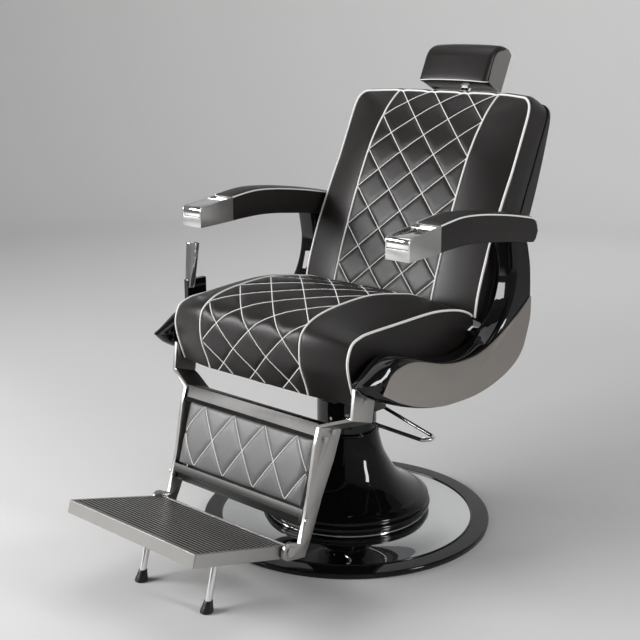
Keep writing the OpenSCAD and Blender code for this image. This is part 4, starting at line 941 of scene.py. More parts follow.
@dataclass
class Base:
    """The foot ring, polished plate, bell and neck ring."""

    foot_r: float = 340.0
    ring_w: float = 44.0
    ring_h: float = 12.5
    mat_t: float = 3.0
    dome_rise: float = 16.5
    dome_inner_r: float = 188.0
    bell_r: float = 199.0
    neck_z: float = 218.5
    neck_r: float = 75.0
    housing_r: float = 70.0
    collar_h: float = 7.5
    collar_w: float = 7.0
    toe: Shares = ((190, 31.2), (193.5, 32.6), (197, 35.5), (198.3, 38.5))
    beads: Shares = ((43.5, 199.6), (57.5, 196.0))
    bead_h: float = 12.0
    bead_depth: float = 3.6
    foot_line_r: float = 1.1
    foot_line_at: float = 191.0
    edge_r: float = 4.0
    bead_w: float = 5.0
    rim_gap: float = 0.15
    neck_gap: float = 0.3
    line_lift: float = 0.8
    walls: tuple[float, float] = (10.0, 4.0)
    shoulder: Shares = (
        (0.931, 0.192), (0.872, 0.216), (0.77, 0.243), (0.585, 0.314), (0.429, 0.396), (0.31, 0.491),
        (0.213, 0.596), (0.113, 0.723), (0.048, 0.86), (0, 1))

    @staticmethod
    def arc(centre: Place, radius: float, start: float, end: float, steps: int) -> np.ndarray:
        """Points on an arc, by angles in degrees."""
        a = np.radians(np.linspace(start, end, steps + 1))
        return np.column_stack([centre[0] + radius * np.cos(a), centre[1] + radius * np.sin(a)])

    def build(self, shop: Workshop) -> None:
        """Makes the turned pieces of the base."""
        top = self.ring_h + self.dome_rise
        inner = self.foot_r - self.ring_w
        shop.lathe("foot_ring_turned", np.concatenate([
            [[inner, self.mat_t], [self.foot_r - 2, self.mat_t]],
            self.arc((self.foot_r - self.edge_r, self.ring_h - self.edge_r), self.edge_r, 0, 90, 10),
            self.arc((inner + self.bead_w / 2, self.ring_h), self.bead_w / 2, 0, 180, 10),
        ]), Finish.LACQUER, "foot_ring")
        outer = inner - self.rim_gap
        t = np.linspace(0, 1, 16)[:, None]
        rise = self.ring_h + self.dome_rise * np.sin(t * math.pi / 2) ** 1.1
        shop.lathe("base_plate_turned", np.concatenate([
            [[0.01, self.mat_t], [outer, self.mat_t]],
            np.column_stack([outer + (self.dome_inner_r - outer) * t, rise]), [[0.01, top]],
        ]), Finish.MIRROR, "base_plate")
        self.bell(shop, top)
        ring_r, round_r = self.housing_r + self.neck_gap, self.collar_h / 2
        shop.lathe("neck_ring_turned", np.concatenate([
            [[ring_r, self.neck_z]],
            self.arc((ring_r + self.collar_w - round_r, self.neck_z + round_r), round_r, -90, 90, 12),
            [[ring_r, self.neck_z + self.collar_h]],
        ]), Finish.LACQUER, "neck_ring")

    def bell(self, shop: Workshop, top: float) -> None:
        """The bell with its two beads, and the bright line round its foot."""
        turn = np.linspace(0, math.pi, 13)
        out, up = self.bead_depth * (1 - np.sin(turn)), self.bead_h / 2 * np.cos(turn)
        beads = [np.column_stack([r - out, z - up]) for z, r in self.beads]
        size = (self.bell_r - self.neck_r, self.neck_z - top)
        curve = spline(placed(self.shoulder, (self.neck_r, top), size), 12)
        outside = np.concatenate([self.toe, *beads, curve])
        wall = np.where(outside[:, 1] < curve[0, 1], *self.walls)
        inside = (outside - np.column_stack([wall, np.zeros(len(wall))]))[::-1]
        shop.lathe("bell_turned", np.concatenate([outside, inside]), Finish.LACQUER, "bell_cover")
        a = np.linspace(0, 2 * math.pi, shop.TURNS, endpoint=False)
        circle = np.column_stack([self.foot_line_at * np.cos(a), self.foot_line_at * np.sin(a)])
        foot = at_height(circle, top + self.line_lift)
        shop.tube("bell_foot_line", foot, self.foot_line_r, Finish.CHROME, "base", closed=True, sides=8)


# Cushions


def blend_share(x: float, half: float, panel: float) -> float:
    """How far a section has turned from the panel's into the side's."""
    return (max(0.0, abs(x) - panel / 2) / (half - panel / 2)) ** 1.6


@dataclass
class SeatCushion:
    """The quilted seat, its side faces, piping and stitching."""

    width: float = 508.0
    depth: float = 434.0
    height: float = 179.0
    front_y: float = -322.0
    foot_z: float = 402.0
    panel: float = 294.0
    diamonds: int = 3
    rows: int = 150
    stations: int = 157
    side_crown: float = 5.0
    rise: float = 4 / 25
    trimming: tuple[float, float] = (0.01, 0.998)
    beam_end: float = 236.0
    shell_x: float = 271.0
    beam_y: tuple[float, float] = (-200.0, -140.0)
    beam_z: tuple[float, float] = (340.0, 400.0)
    corner_y: tuple[float, float] = (115.0, 121.0)
    corner_z: tuple[float, float] = (404.0, 478.0)
    corner_in: float = 10.0
    corner_gap: float = 1.6
    rear: Shares = ((1, 0), (1, 0.425), (1.055, 0.475), (1.062, 0.51))
    middle: Shares = (
        (1.01, 0.575), (1, 0.71), (0.88, 0.838), (0.776, 0.905), (0.523, 0.994), (0.286, 0.978),
        (0.122, 0.916), (0.03, 0.8), (0.002, 0.648), (0.005, 0.397), (0.035, 0.196), (0.067, 0))
    side: Shares = (
        (1.045, 0.56), (1.03, 0.62), (0.95, 0.70), (0.84, 0.757), (0.68, 0.793), (0.403, 0.784),
        (0.212, 0.775), (0.147, 0.757), (0.088, 0.7), (0.06, 0.56), (0.06, 0.413), (0.085, 0.2),
        (0.115, 0))

    def section(self, x: float) -> np.ndarray:
        """The face's path at a station, from the rear over the top and down the front."""
        t = blend_share(x, self.width / 2, self.panel)
        box = (self.front_y, self.foot_z), (self.depth, self.height)
        middle = resampled(spline(placed(self.middle, *box), 8), self.rows)
        side = resampled(spline(placed(self.side, *box), 8), self.rows)
        return middle * (1 - t) + side * t

    def build(self, shop: Workshop) -> None:
        """Makes the seat's leather, piping and thread."""
        quilt = Quilt(self.section, self.width / 2, self.panel, self.panel / self.diamonds, self.rise)
        face = quilt.build(self.stations)
        back = placed(self.rear, (self.front_y, self.foot_z), (self.depth, self.height))
        tail = np.array([at_station(back, x) for x in quilt.xs])
        rings = np.concatenate([face, tail], 1)
        close_off(shop, "seat_leather", rings, self.side_crown, "seat", "seat_cushion",
                  held=quilt.sewn_down(len(back)))
        Trim("seat", *self.trimming).build(shop, quilt)
        shop.softened("seat_frame", Finish.PAINT, extra=self.shorten_beam)
        (near, far), (low, high) = self.corner_y, self.corner_z
        for side, sign in (("left", 1), ("right", -1)):
            x = sorted((sign * (self.width / 2 - self.corner_in), sign * (self.shell_x - self.corner_gap)))
            shop.slab(f"seat_corner_{side}", (x[0], near, low), (x[1], far, high), Finish.PAINT, "seat")

    def shorten_beam(self, frame: bpy.types.Object) -> None:
        """Cuts the ends off the frame's front beam, inside the side shells."""
        (near, far), (low, high) = self.beam_y, self.beam_z
        for sign in (-1, 1):
            x = sorted((sign * self.beam_end, sign * self.shell_x))
            Workshop.cut_box(frame, (x[0], near, low), (x[1], far, high))


@dataclass
class BackCushion:
    """The quilted back, its side faces, piping and stitching, in the place of an upright back."""

    width: float = 512.0
    height: float = 552.0
    thickness: float = 107.0
    face_n: float = 18.0
    foot_v: float = 28.0
    corner_r: float = 28.0
    panel: float = 294.0
    diamonds: int = 3
    rows: int = 170
    stations: int = 157
    side_crown: float = 4.0
    rise: float = 4 / 25
    trimming: tuple[float, float] = (0.094, 0.99)
    piping_corner: float = 0.142
    middle: Shares = (
        (0, 0.995), (0.229, 1), (0.492, 0.972), (0.729, 0.888), (0.86, 0.806), (0.95, 0.725), (1, 0.621),
        (1, 0.442), (0.95, 0.241), (0.85, 0.058), (0.748, 0))
    side: Shares = (
        (0, 0.964), (0.355, 0.964), (0.636, 0.96), (0.704, 0.942), (0.707, 0.8), (0.712, 0.66),
        (0.738, 0.583), (0.768, 0.45), (0.774, 0.308), (0.7, 0.12), (0.56, 0))

    def top_at(self, x: float) -> float:
        """The back's height at a station, lower at its round corners."""
        over = max(0.0, abs(x) - (self.width / 2 - self.corner_r))
        return self.foot_v + self.height - (self.corner_r - math.sqrt(max(self.corner_r**2 - over**2, 0.0)))

    def section(self, x: float) -> np.ndarray:
        """The face's path at a station, upright, from the top's rear edge to the foot."""
        t = blend_share(x, self.width / 2, self.panel)
        keys = np.asarray(self.middle) * (1 - t) + np.asarray(self.side) * t
        box = (self.face_n, self.foot_v), (-self.thickness, self.height)
        path = resampled(spline(placed(keys, *box), 8), self.rows)
        path[:, 1] = self.foot_v + (path[:, 1] - self.foot_v) * (self.top_at(x) - self.foot_v) / self.height
        return path

    def build(self, shop: Workshop) -> None:
        """Makes the back's leather, piping and thread."""
        quilt = Quilt(self.section, self.width / 2, self.panel, self.panel / self.diamonds, self.rise)
        face = quilt.build(self.stations)
        tail = np.array([[[x, self.face_n, self.foot_v]] for x in quilt.xs])
        rings = np.concatenate([face, tail], 1)
        close_off(shop, "back_leather", rings, self.side_crown, "back", "back_cushion", BACK_LEAN,
                  held=quilt.sewn_down(1))
        Trim("back", *self.trimming, BACK_LEAN, self.piping_corner).build(shop, quilt)


def side_face(ring: np.ndarray, sign: float, crown: float) -> np.ndarray:
    """The rings of a crowned side face, from just inside a ring towards its middle."""
    shares = np.array([0.03, 0.1, 0.22, 0.4, 0.62, 0.82])
    out = ring[None] + (ring.mean(0) - ring)[None] * shares[:, None, None]
    out[:, :, 0] = ring[:, 0] + sign * crown * np.sin(np.minimum(shares * 2.2, 1.0) * math.pi / 2)[:, None]
    return out


def close_off(shop: Workshop, name: str, rings: np.ndarray, crown: float, body: str, replaces: str,
              pose: Pose = unmoved, finish: Finish = Finish.LEATHER, held: np.ndarray | None = None) -> None:
    """A soft piece with crowned side faces on the first and last of its rings.

    Args:
        shop: The workshop.
        name: The piece's name.
        rings: The rings across it.
        crown: How far the middle of a side face stands out.
        body: The body it rides on.
        replaces: The node it stands for.
        pose: Puts the points in the row frame.
        finish: The finish.
        held: How firmly each point of the rings is sewn down, where the leather is to be blown up.
    """
    left, right = side_face(rings[0], -1, crown)[::-1], side_face(rings[-1], 1, crown)
    whole = np.concatenate([left, rings, right])
    thing = shop.grid(name, pose(whole), finish, body, [replaces], smooth=50)
    if held is not None:
        beside = np.ones((len(left), rings.shape[1]))
        billowed(thing, np.concatenate([beside, held, beside]), Cloth())


@dataclass(frozen=True)
class Thread:
    """The thread of the quilts' sewn lines.

    Attributes:
        radius: Its radius in the middle of a stitch.
        stitch: A stitch's length.
        sides: Points round it.
        lift: How far it lies over the leather, as a share of its radius.
    """

    radius: float = 1.3
    stitch: float = 8.0
    sides: int = 7
    lift: float = 0.35

    def sew(self, shop: Workshop, name: str, quilt: Quilt, body: str, pose: Pose, first: float = 0.0,
            last: float = 1.0) -> None:
        """Sews a quilt's lattice.

        Args:
            shop: The workshop.
            name: The cushion's name.
            quilt: Its face.
            body: The body it rides on.
            pose: Puts points in the row frame.
            first: Share of the path where the lattice starts.
            last: Share where it ends.
        """
        tubes = []
        for x, row in quilt.lattice(first, last):
            cut, radii = stitched(quilt.at(x, row, self.radius * self.lift), self.stitch, self.radius)
            tubes.append(tube_rings(pose(cut), radii, self.sides, False))
        points, faces = joined(tubes)
        shop.piece(name + "_lattice_thread", points, faces, Finish.THREAD, body, smooth=60)


@dataclass(frozen=True)
class Trim:
    """The piping round a quilted cushion, the piping beside its panel and the thread of its lattice.

    Attributes:
        name: The cushion's name, and its body's.
        first: Share of the path where the trimming starts.
        last: Share where it ends.
        pose: Puts points in the row frame.
        corner: Share where the outer piping turns at the sides; without it the piping doesn't cross the top.
        piping_r: Radius of the outer piping.
        seam_r: Radius of the panel's piping.
        proud: How far the outer piping's middle lies over the face.
        count: Points taken on a line of piping.
        easing: How many times the outer piping's corners are eased.
    """

    name: str
    first: float
    last: float
    pose: Pose = unmoved
    corner: float | None = None
    piping_r: float = 2.7
    seam_r: float = 2.2
    proud: float = 0.6
    count: int = 260
    easing: int = 40

    def build(self, shop: Workshop, quilt: Quilt) -> None:
        """Makes the piping, and sews the lattice."""
        sides = ("right", -1), ("left", 1)
        if self.corner is not None:
            path = quilt.at(*self.over_top(quilt).T, self.proud)
            self.piping(shop, "outer_piping", path, 700, self.piping_r)
        else:
            for side, sign in sides:
                path = self.down(quilt, sign * quilt.half, self.proud)
                self.piping(shop, f"outer_piping_{side}", path, 300, self.piping_r)
        for side, sign in sides:
            path = self.down(quilt, sign * quilt.panel / 2, self.seam_r * 0.5)
            self.piping(shop, f"panel_piping_{side}", path, 300, self.seam_r)
        Thread().sew(shop, self.name, quilt, self.name, self.pose, self.first, self.last)

    def piping(self, shop: Workshop, label: str, path: np.ndarray, count: int, radius: float) -> None:
        """One piece of piping along a path."""
        line = self.pose(resampled(path, count))
        shop.tube(f"{self.name}_{label}", line, radius, Finish.PIPING, self.name)

    def down(self, quilt: Quilt, x: float, lift: float) -> np.ndarray:
        """A line down the face at a station."""
        return quilt.at(np.full(self.count, x), np.linspace(self.first, self.last, self.count), lift)

    def over_top(self, quilt: Quilt) -> np.ndarray:
        """The outer piping's stations and rows, up the right side, across the top and down the left side."""
        across = np.linspace(-quilt.half, quilt.half, 220)[1:-1]
        share = np.array([blend_share(x, quilt.half, quilt.panel) for x in across])
        down = np.linspace(self.corner, self.last, self.count)
        return smoothed(np.concatenate([
            np.column_stack([np.full(self.count, -quilt.half), down[::-1]]),
            np.column_stack([across, self.first + (self.corner - self.first) * share]),
            np.column_stack([np.full(self.count, quilt.half), down])]), self.easing)


@dataclass(frozen=True)
class Cloth:
    """The numbers of the leather's simulation.

    Attributes:
        pressure: Pressure inside the cushion.
        frames: How many frames are run.
        quality: Steps in a frame.
        mass: Mass of a point.
        stiffness: Resistance to stretching.
        shear: Resistance to shearing.
        bending: Resistance to bending.
        damping: Damping by air.
        most: Longest movement that is kept, in millimetres.
        easing: How many times the movement is averaged with its neighbours, which takes out creases.
    """

    pressure: float = 4.0
    frames: int = 20
    quality: int = 3
    mass: float = 0.3
    stiffness: float = 30.0
    shear: float = 20.0
    bending: float = 12.0
    damping: float = 3.0
    most: float = 1.6
    easing: int = 24


def billowed(thing: bpy.types.Object, held: np.ndarray, cloth: Cloth) -> None:
    """Blows a cushion's leather up between its sewn lines in a cloth simulation and keeps the result.

    Args:
        thing: The cushion, whose points lie in rings.
        held: How firmly each point is sewn down, from 0 to 1, as an array of ring and point.
        cloth: The numbers of the simulation.
    """
    mesh = thing.data
    rest = np.empty(len(mesh.vertices) * 3)
    mesh.vertices.foreach_get("co", rest)
    group = thing.vertex_groups.new(name="sewn")
    firm = held.ravel()
    for k in np.flatnonzero(firm > 0.01):
        group.add([int(k)], float(firm[k]), "REPLACE")
    leather = thing.modifiers.new("leather", "CLOTH")
    settings = leather.settings
    settings.quality = cloth.quality
    settings.mass = cloth.mass
    settings.tension_stiffness = settings.compression_stiffness = cloth.stiffness
    settings.shear_stiffness = cloth.shear
    settings.bending_stiffness = cloth.bending
    settings.air_damping = cloth.damping
    settings.vertex_group_mass = group.name
    settings.use_pressure = True
    settings.uniform_pressure_force = cloth.pressure
    settings.effector_weights.gravity = 0.0
    leather.point_cache.frame_start, leather.point_cache.frame_end = 1, cloth.frames
    for frame in range(1, cloth.frames + 1):
        bpy.context.scene.frame_set(frame)
    blown = thing.evaluated_get(bpy.context.evaluated_depsgraph_get()).to_mesh()
    moved = np.empty(len(rest))
    blown.vertices.foreach_get("co", moved)
    shift = (moved - rest).reshape(-1, 3)
    length = np.maximum(np.linalg.norm(shift, axis=1), 1e-9)
    shift *= np.minimum(1.0, cloth.most * MM / length)[:, None]
    shift = shift.reshape(*held.shape, 3)
    for _ in range(cloth.easing):
        shift[1:-1] = (shift[:-2] + 2 * shift[1:-1] + shift[2:]) / 4
        shift[:, 1:-1] = (shift[:, :-2] + 2 * shift[:, 1:-1] + shift[:, 2:]) / 4
    shift = (shift * (1 - held[..., None])).reshape(-1, 3)
    thing.modifiers.clear()
    mesh.vertices.foreach_set("co", (rest.reshape(-1, 3) + shift).ravel())
    mesh.update()
    bpy.context.scene.frame_set(1)
    far = np.linalg.norm(shift, axis=1) / MM
    LOG.info("%s: cloth moved by up to %.2f mm, %.2f mm on average", thing.name, far.max(), far.mean())


@dataclass
class BackShell:
    """The smooth leather cover behind the back."""

    width: float = 512.0
    height: float = 552.0
    cover_t: float = 51.0
    drop: float = 12.0
    face_n: float = 24.0
    foot_v: float = 28.0
    outline: Shares = (
        (0.8, 0), (0.94, 0.02), (1, 0.09), (1.04, 0.25), (1.03, 0.42), (1, 0.53), (0.9, 0.68),
        (0.7, 0.82), (0.46, 0.94), (0.33, 0.985), (0.15, 1))
    stations: Shares = ((0, 1), (0.8, 1), (0.93, 0.97), (0.975, 0.9), (1, 0.76))
    channel: tuple[float, float, float] = (19.0, 32.5, 329.0)
    socket: tuple[float, float, float] = (33.6, 36.3, 553.7)

    def build(self, shop: Workshop, back: BackCushion) -> None:
        """Makes the cover with the channel that the head rest's bar slides in."""
        cover_h = self.height - self.drop
        shares = np.unique(np.r_[np.linspace(-0.9, 0.9, 41), np.linspace(0.9, 1, 9), -np.linspace(0.9, 1, 9)])
        table = spline(self.stations, 6)
        rings = []
        for s in shares:
            x = s * self.width / 2
            full = self.cover_t * read(table, abs(s))
            path = resampled(spline(placed(self.outline, (self.face_n, self.foot_v), (full, cover_h)), 6), 70)
            path = np.concatenate([[[self.face_n, self.foot_v + cover_h], [self.face_n, self.foot_v]], path])
            top = back.top_at(x) - self.foot_v
            path[:, 1] = self.foot_v + (path[:, 1] - self.foot_v) * top / self.height
            rings.append(at_station(path, x))
        thing = shop.grid("back_cover", np.array(rings), Finish.LEATHER, "back", ["back_shell"], smooth=50)
        far = self.foot_v + self.height + 40
        for width, depth, low in (self.channel, self.socket):
            shop.cut_box(thing, (-width / 2, self.face_n - 1, low), (width / 2, depth, far))
        thing.data.transform(BACK_LEAN.matrix())


@dataclass
class ArmRests:
    """The padded arm rests and the metal blocks with their lids."""

    arm_x: float = 299.0
    width: float = 61.0
    height: float = 50.0
    length: float = 368.0
    base_z: float = 690.0
    front_y: float = -98.2
    crown: float = 6.0
    piping_r: float = 1.7
    bulge: float = 1.2
    piping_in: float = 0.2
    piping_up: float = 0.3
    top: Shares = (
        (0, 1.2), (0.186, 1.36), (0.357, 1.32), (0.534, 1.18), (0.719, 0.98), (0.909, 0.72),
        (0.955, 0.62), (0.98, 0.5), (0.994, 0.33), (1, 0.14))
    bottom: Shares = (
        (0, 0.1), (0.197, 0.16), (0.365, 0.12), (0.545, -0.02), (0.69, -0.14), (0.94, -0.41),
        (0.968, -0.385), (0.988, -0.27), (1, -0.06))
    widths: Shares = ((0, 1), (0.96, 1), (0.982, 0.985), (0.995, 0.94), (1, 0.86))
    section: Shares = (
        (-0.86, 0, 0), (0.86, 0, 0), (0.96, 0.03, 0), (1, 0.14, 0), (1, 1, 0), (0.9, 1, 0.42),
        (0.62, 1, 0.82), (0, 1, 1), (-0.62, 1, 0.82), (-0.9, 1, 0.42), (-1, 1, 0), (-1, 0.14, 0),
        (-0.96, 0.03, 0))

    def ring(self, half: float, low: float, high: float) -> np.ndarray:
        """The pad's section in X and Z, with sides that bulge a little."""
        x, up, over = np.array(self.section).T
        walls = np.column_stack([x * half, low + (high - low) * up + self.crown * over])
        upper = resampled(spline(walls[4:11], 6), 40)
        lower = resampled(spline(np.concatenate([walls[10:], walls[:5]]), 5), 40)[1:-1]
        ring = np.concatenate([upper, lower])
        sign = np.sign(ring[:, 0])
        bulge = self.bulge * np.sin(np.clip((ring[:, 1] - low) / (high - low), 0, 1) * math.pi) * sign
        ring[:, 0] += np.where(np.abs(ring[:, 0]) > half * 0.97, bulge - sign * self.bulge, 0)
        return ring

    def build(self, shop: Workshop) -> None:
        """Makes both pads with their piping, and rounds the blocks and lids."""
        top, bottom, widths = (spline(t, 8) for t in (self.top, self.bottom, self.widths))
        shares = np.unique(np.r_[np.linspace(0, 0.9, 60), np.linspace(0.9, 1, 24)])
        for side, sign in (("left", 1), ("right", -1)):
            middle = sign * self.arm_x
            rings, lines = [], ([], [])
            for s in shares:
                half = self.width / 2 * read(widths, s)
                low = self.base_z + self.height * read(bottom, s)
                high = self.base_z + self.height * read(top, s)
                y = self.front_y + s * self.length
                ring = self.ring(half, low, high)
                rings.append(np.column_stack([middle + ring[:, 0], np.full(len(ring), y), ring[:, 1]]))
                for line, edge in zip(lines, (1, -1)):
                    line.append([middle + edge * (half - self.piping_in), y, high + self.piping_up])
            name = f"arm_pad_{side}"
            thing = shop.grid(name + "_leather", np.array(rings), Finish.LEATHER, "seat", [name], smooth=55)
            path = np.concatenate([lines[0], lines[1][::-1]])
            line = resampled(smoothed(path, 3), 320)
            shop.tube(name + "_piping", line, self.piping_r, Finish.PIPING, "seat")
            shop.softened(f"arm_block_{side}", Finish.NICKEL, 0.8)
            shop.softened(f"tray_lid_{side}", Finish.CHROME, 0.5)


@dataclass
class SideShells:
    """The lacquered side shells and the satin panels on them."""

    inner_x: float = 270.0
    depth: float = 55.0
    length: float = 591.0
    height: float = 327.0
    nose_y: float = -325.0
    foot_z: float = 353.0
    edge_r: float = 9.0
    nose_pull: float = 46.0
    nose_reach: float = 0.24
    panel_crown: float = 3.0
    outline_points: int = 110
    arm_gap: float = 0.3
    lever_x: float = -295.0
    hub: float = 0.56
    spine: Shares = ((-240, 400), (0, 385), (250, 440))
    spine_spread: float = 0.35
    panel_edge: Shares = ((0, 0.2), (2.2, 0), (2.8, 0.25), (3, 0.9))
    section: Shares = (
        (0, 0.9, 0.75), (0.1, 0.25, 0.45), (0.28, 0, 0.12), (0.52, 0, 0), (0.76, 0.15, 0.3),
        (0.92, 0.45, 0.75), (1, 1, 1))
    top: Shares = (
        (0, 0.324), (0.052, 0.372), (0.108, 0.424), (0.161, 0.452), (0.212, 0.448), (0.276, 0.418),
        (0.349, 0.371), (0.421, 0.333), (0.523, 0.306), (0.626, 0.314), (0.716, 0.352), (0.787, 0.44),
        (0.834, 0.547), (0.861, 0.664), (0.871, 0.777), (0.865, 0.878), (0.846, 1.04))
    rear: Shares = (
        (0.951, 1.04), (0.985, 0.847), (0.996, 0.716), (1, 0.572), (0.995, 0.455), (0.976, 0.321),
        (0.949, 0.199), (0.893, 0.116), (0.79, 0.046), (0.638, 0.003), (0.464, 0.01), (0.364, 0.036),
        (0.267, 0.082), (0.173, 0.142), (0.083, 0.212), (0.036, 0.262))
    panel_top: Shares = (
        (0.083, 0.256), (0.103, 0.309), (0.125, 0.352), (0.164, 0.389), (0.215, 0.404), (0.261, 0.397),
        (0.308, 0.378), (0.406, 0.327), (0.481, 0.301), (0.558, 0.292), (0.646, 0.302), (0.736, 0.345),
        (0.807, 0.404), (0.91, 0.5), (0.985, 0.59))
    panel_rear: Shares = (
        (0.988, 0.5), (0.984, 0.42), (0.966, 0.321), (0.938, 0.215), (0.884, 0.135), (0.786, 0.066),
        (0.638, 0.022), (0.464, 0.028), (0.364, 0.056), (0.266, 0.104), (0.173, 0.17))
    slot: tuple[float, float, float, float, float] = (6.0, -228.0, -171.0, 427.0, 570.0)

    def outline(self) -> np.ndarray:
        """The shell's outline in Y and Z, anticlockwise with +Y to the right."""
        parts = [by_key(spline(keys[::-1], 12), self.outline_points) for keys in (self.rear, self.top)]
        return placed(np.concatenate(parts), (self.nose_y, self.foot_z), (self.length, self.height))

    def under_arm(self, path: np.ndarray, arms: ArmRests) -> np.ndarray:
        """The outline stopped under the arm rest's pad."""
        share = (path[:, 0] - arms.front_y) / arms.length
        roof = arms.base_z + arms.height * read(np.asarray(arms.bottom), share) - self.arm_gap
        return np.column_stack([path[:, 0], np.minimum(path[:, 1], roof)])

    def build(self, shop: Workshop, arms: ArmRests) -> None:
        """Makes both shells and both panels."""
        outline = self.outline()
        section = spline(self.section, 5)
        reach = self.nose_reach * self.length
        for side, sign in (("left", 1), ("right", -1)):
            rings = []
            for share, edge, pull in section:
                path = drawn_in(outline, max(edge, 0) * self.edge_r)
                s = np.maximum(0, (self.nose_y + reach - path[:, 0]) / reach)
                path = np.column_stack([path[:, 0] + pull * self.nose_pull * s * s, path[:, 1]])
                x = sign * (self.inner_x + share * self.depth)
                rings.append(at_station(self.under_arm(path, arms), x))
            name = f"shell_{side}"
            thing = shop.grid(name + "_moulded", np.array(rings), Finish.LACQUER, "seat", [name], smooth=35,
                              strips=True)
            if side == "right":
                half, near, far, low, high = self.slot
                shop.cut_box(thing, (self.lever_x - half, near, low), (self.lever_x + half, far, high))
            self.panel(shop, side, sign)

    def panel(self, shop: Workshop, side: str, sign: int) -> None:
        """One satin panel, slightly crowned, with a bright rounded edge."""
        box = (self.nose_y, self.foot_z), (self.length, self.height)
        lines = [spline(placed(keys[::-1], *box), 8) for keys in (self.panel_rear, self.panel_top)]
        path = resampled(np.concatenate(lines), 220)
        start = self.inner_x + self.depth
        hub_y = self.nose_y + self.hub * self.length
        spine = np.array(self.spine)
        rings = [at_station(drawn_in(path, inset), start + x) for x, inset in self.panel_edge]
        last = rings[-1]
        toward = np.column_stack([hub_y + (last[:, 1] - hub_y) * self.spine_spread, read(spine, last[:, 1])])
        for share in (0.05, 0.15, 0.3, 0.5, 0.72, 0.92):
            ring = last.copy()
            ring[:, 1:] = last[:, 1:] * (1 - share) + toward * share
            ring[:, 0] += self.panel_crown * math.sin(share * math.pi / 2)
            rings.append(ring)
        whole = np.array(rings)
        whole[..., 0] *= sign
        name = f"side_panel_{side}"
        shop.grid(name + "_crowned", whole, Finish.PANEL, "seat", [name], smooth=30)


@dataclass
class HeadRest:
    """The head rest's cushion, its piping and its metal cradle."""

    width: float = 200.0
    height: float = 106.0
    depth: float = 74.0
    cheek_t: float = 3.0
    foot_v: float = 597.0
    front_n: float = -36.0
    crown: float = 9.0
    hollow: float = 18.5
    bar_n: float = 28.0
    piping_r: float = 1.1
    gap: float = 0.3
    roll: float = 12.0
    lip: float = 9.0
    cheek_top: float = 97.0
    notch: tuple[float, float] = (24.0, 43.0)
    bevel: float = 0.5
    face: Shares = (
        (0.8, 0.985), (0.6, 0.995), (0.4, 0.95), (0.22, 0.87), (0.08, 0.76), (0.01, 0.62), (0, 0.45),
        (0, 0.22), (0.01, 0.05), (0.035, -0.03), (0.09, -0.05))
    rest: Shares = ((0.755, 0.01), (0.755, 0.31), (0.95, 0.34), (0.95, 0.9))
    face_points: int = 96
    piped_point: int = 92

    def ring(self, x: float, inset: float) -> np.ndarray:
        """The cushion's section at a station, drawn in at its face where it rolls over the cheeks."""
        size = (self.depth - self.crown / 3, self.height)
        front = resampled(spline(placed(self.face, (self.front_n, self.foot_v), size), 8), self.face_points)
        path = np.concatenate([front, placed(self.rest, (self.front_n, self.foot_v), size)])
        share = np.clip((self.bar_n - self.hollow - path[:, 0]) / self.hollow, 0, 1)
        path[:, 0] -= self.crown * (1 - min(1.0, abs(x) * 2 / self.width) ** 2.6) * share
        rolled = np.concatenate([np.clip(np.arange(len(front)) / 14, 0, 1), np.zeros(len(self.rest))])
        path = drawn_in(path, inset * rolled)
        inside = self.width / 2 - self.cheek_t - self.gap
        reach = inside + rolled * max(0.0, abs(x) - inside)
        return np.column_stack([math.copysign(1, x) * np.minimum(abs(x), reach), path])

    def build(self, shop: Workshop) -> None:
        """Makes the cushion and its piping, and the cradle, whose cheeks lie behind the cushion's roll."""
        half, flat = self.width / 2, self.width / 2 - self.roll
        turn = np.linspace(0, math.pi / 2, 9)[1:]
        ends = [(flat + self.roll * math.sin(t), self.lip * (1 - math.cos(t))) for t in turn]
        ends += [(half - 0.6, self.lip + 0.9), (half - self.cheek_t - self.gap, self.lip + 1.2)]
        stations = [(-x, inset) for x, inset in ends[::-1]]
        stations += [(x, 0.0) for x in np.linspace(-flat, flat, 45)] + ends
        rings = [self.ring(x, inset) for x, inset in stations]
        thing = shop.grid("headrest_leather", BACK_LEAN(np.array(rings)), Finish.LEATHER, "headrest",
                          ["headrest_cushion"], smooth=50)
        line = smoothed(np.array([r[self.piped_point] for r in rings[2:-2]]), 2)
        line = BACK_LEAN(resampled(line, 200))
        shop.tube("headrest_piping", line, self.piping_r, Finish.PIPING, "headrest")
        self.cradle(shop)

    def cradle(self, shop: Workshop) -> None:
        """The two cheeks and the plate behind the cushion, with a notch for the bar."""
        half = self.width / 2
        rear = self.front_n + self.depth
        cheek = np.concatenate([
            self.ring(half, self.lip + 1.6)[: self.face_points : 3, 1:],
            [[-self.roll, self.foot_v], [rear, self.foot_v], [rear, self.foot_v + self.cheek_top]]])
        x, low, high = half - self.cheek_t, self.foot_v, self.foot_v + self.cheek_top
        notch_x, notch_v = self.notch[0] / 2, low + self.notch[1]
        notch = [[-notch_x, low], [-notch_x, notch_v], [notch_x, notch_v], [notch_x, low]]
        plate = np.array([[-x, low], *notch, [x, low], [x, high], [-x, high]])
        parts = [prism(cheek, start, start + self.cheek_t, self.bevel) for start in (-half, x)]
        parts.append(prism(plate, rear - self.cheek_t, rear, self.bevel)[..., [1, 0, 2]])
        points, faces = joined([BACK_LEAN(part) for part in parts])
        shop.piece("headrest_cradle", points, faces, Finish.BAR, "headrest", ["headrest_shell"])


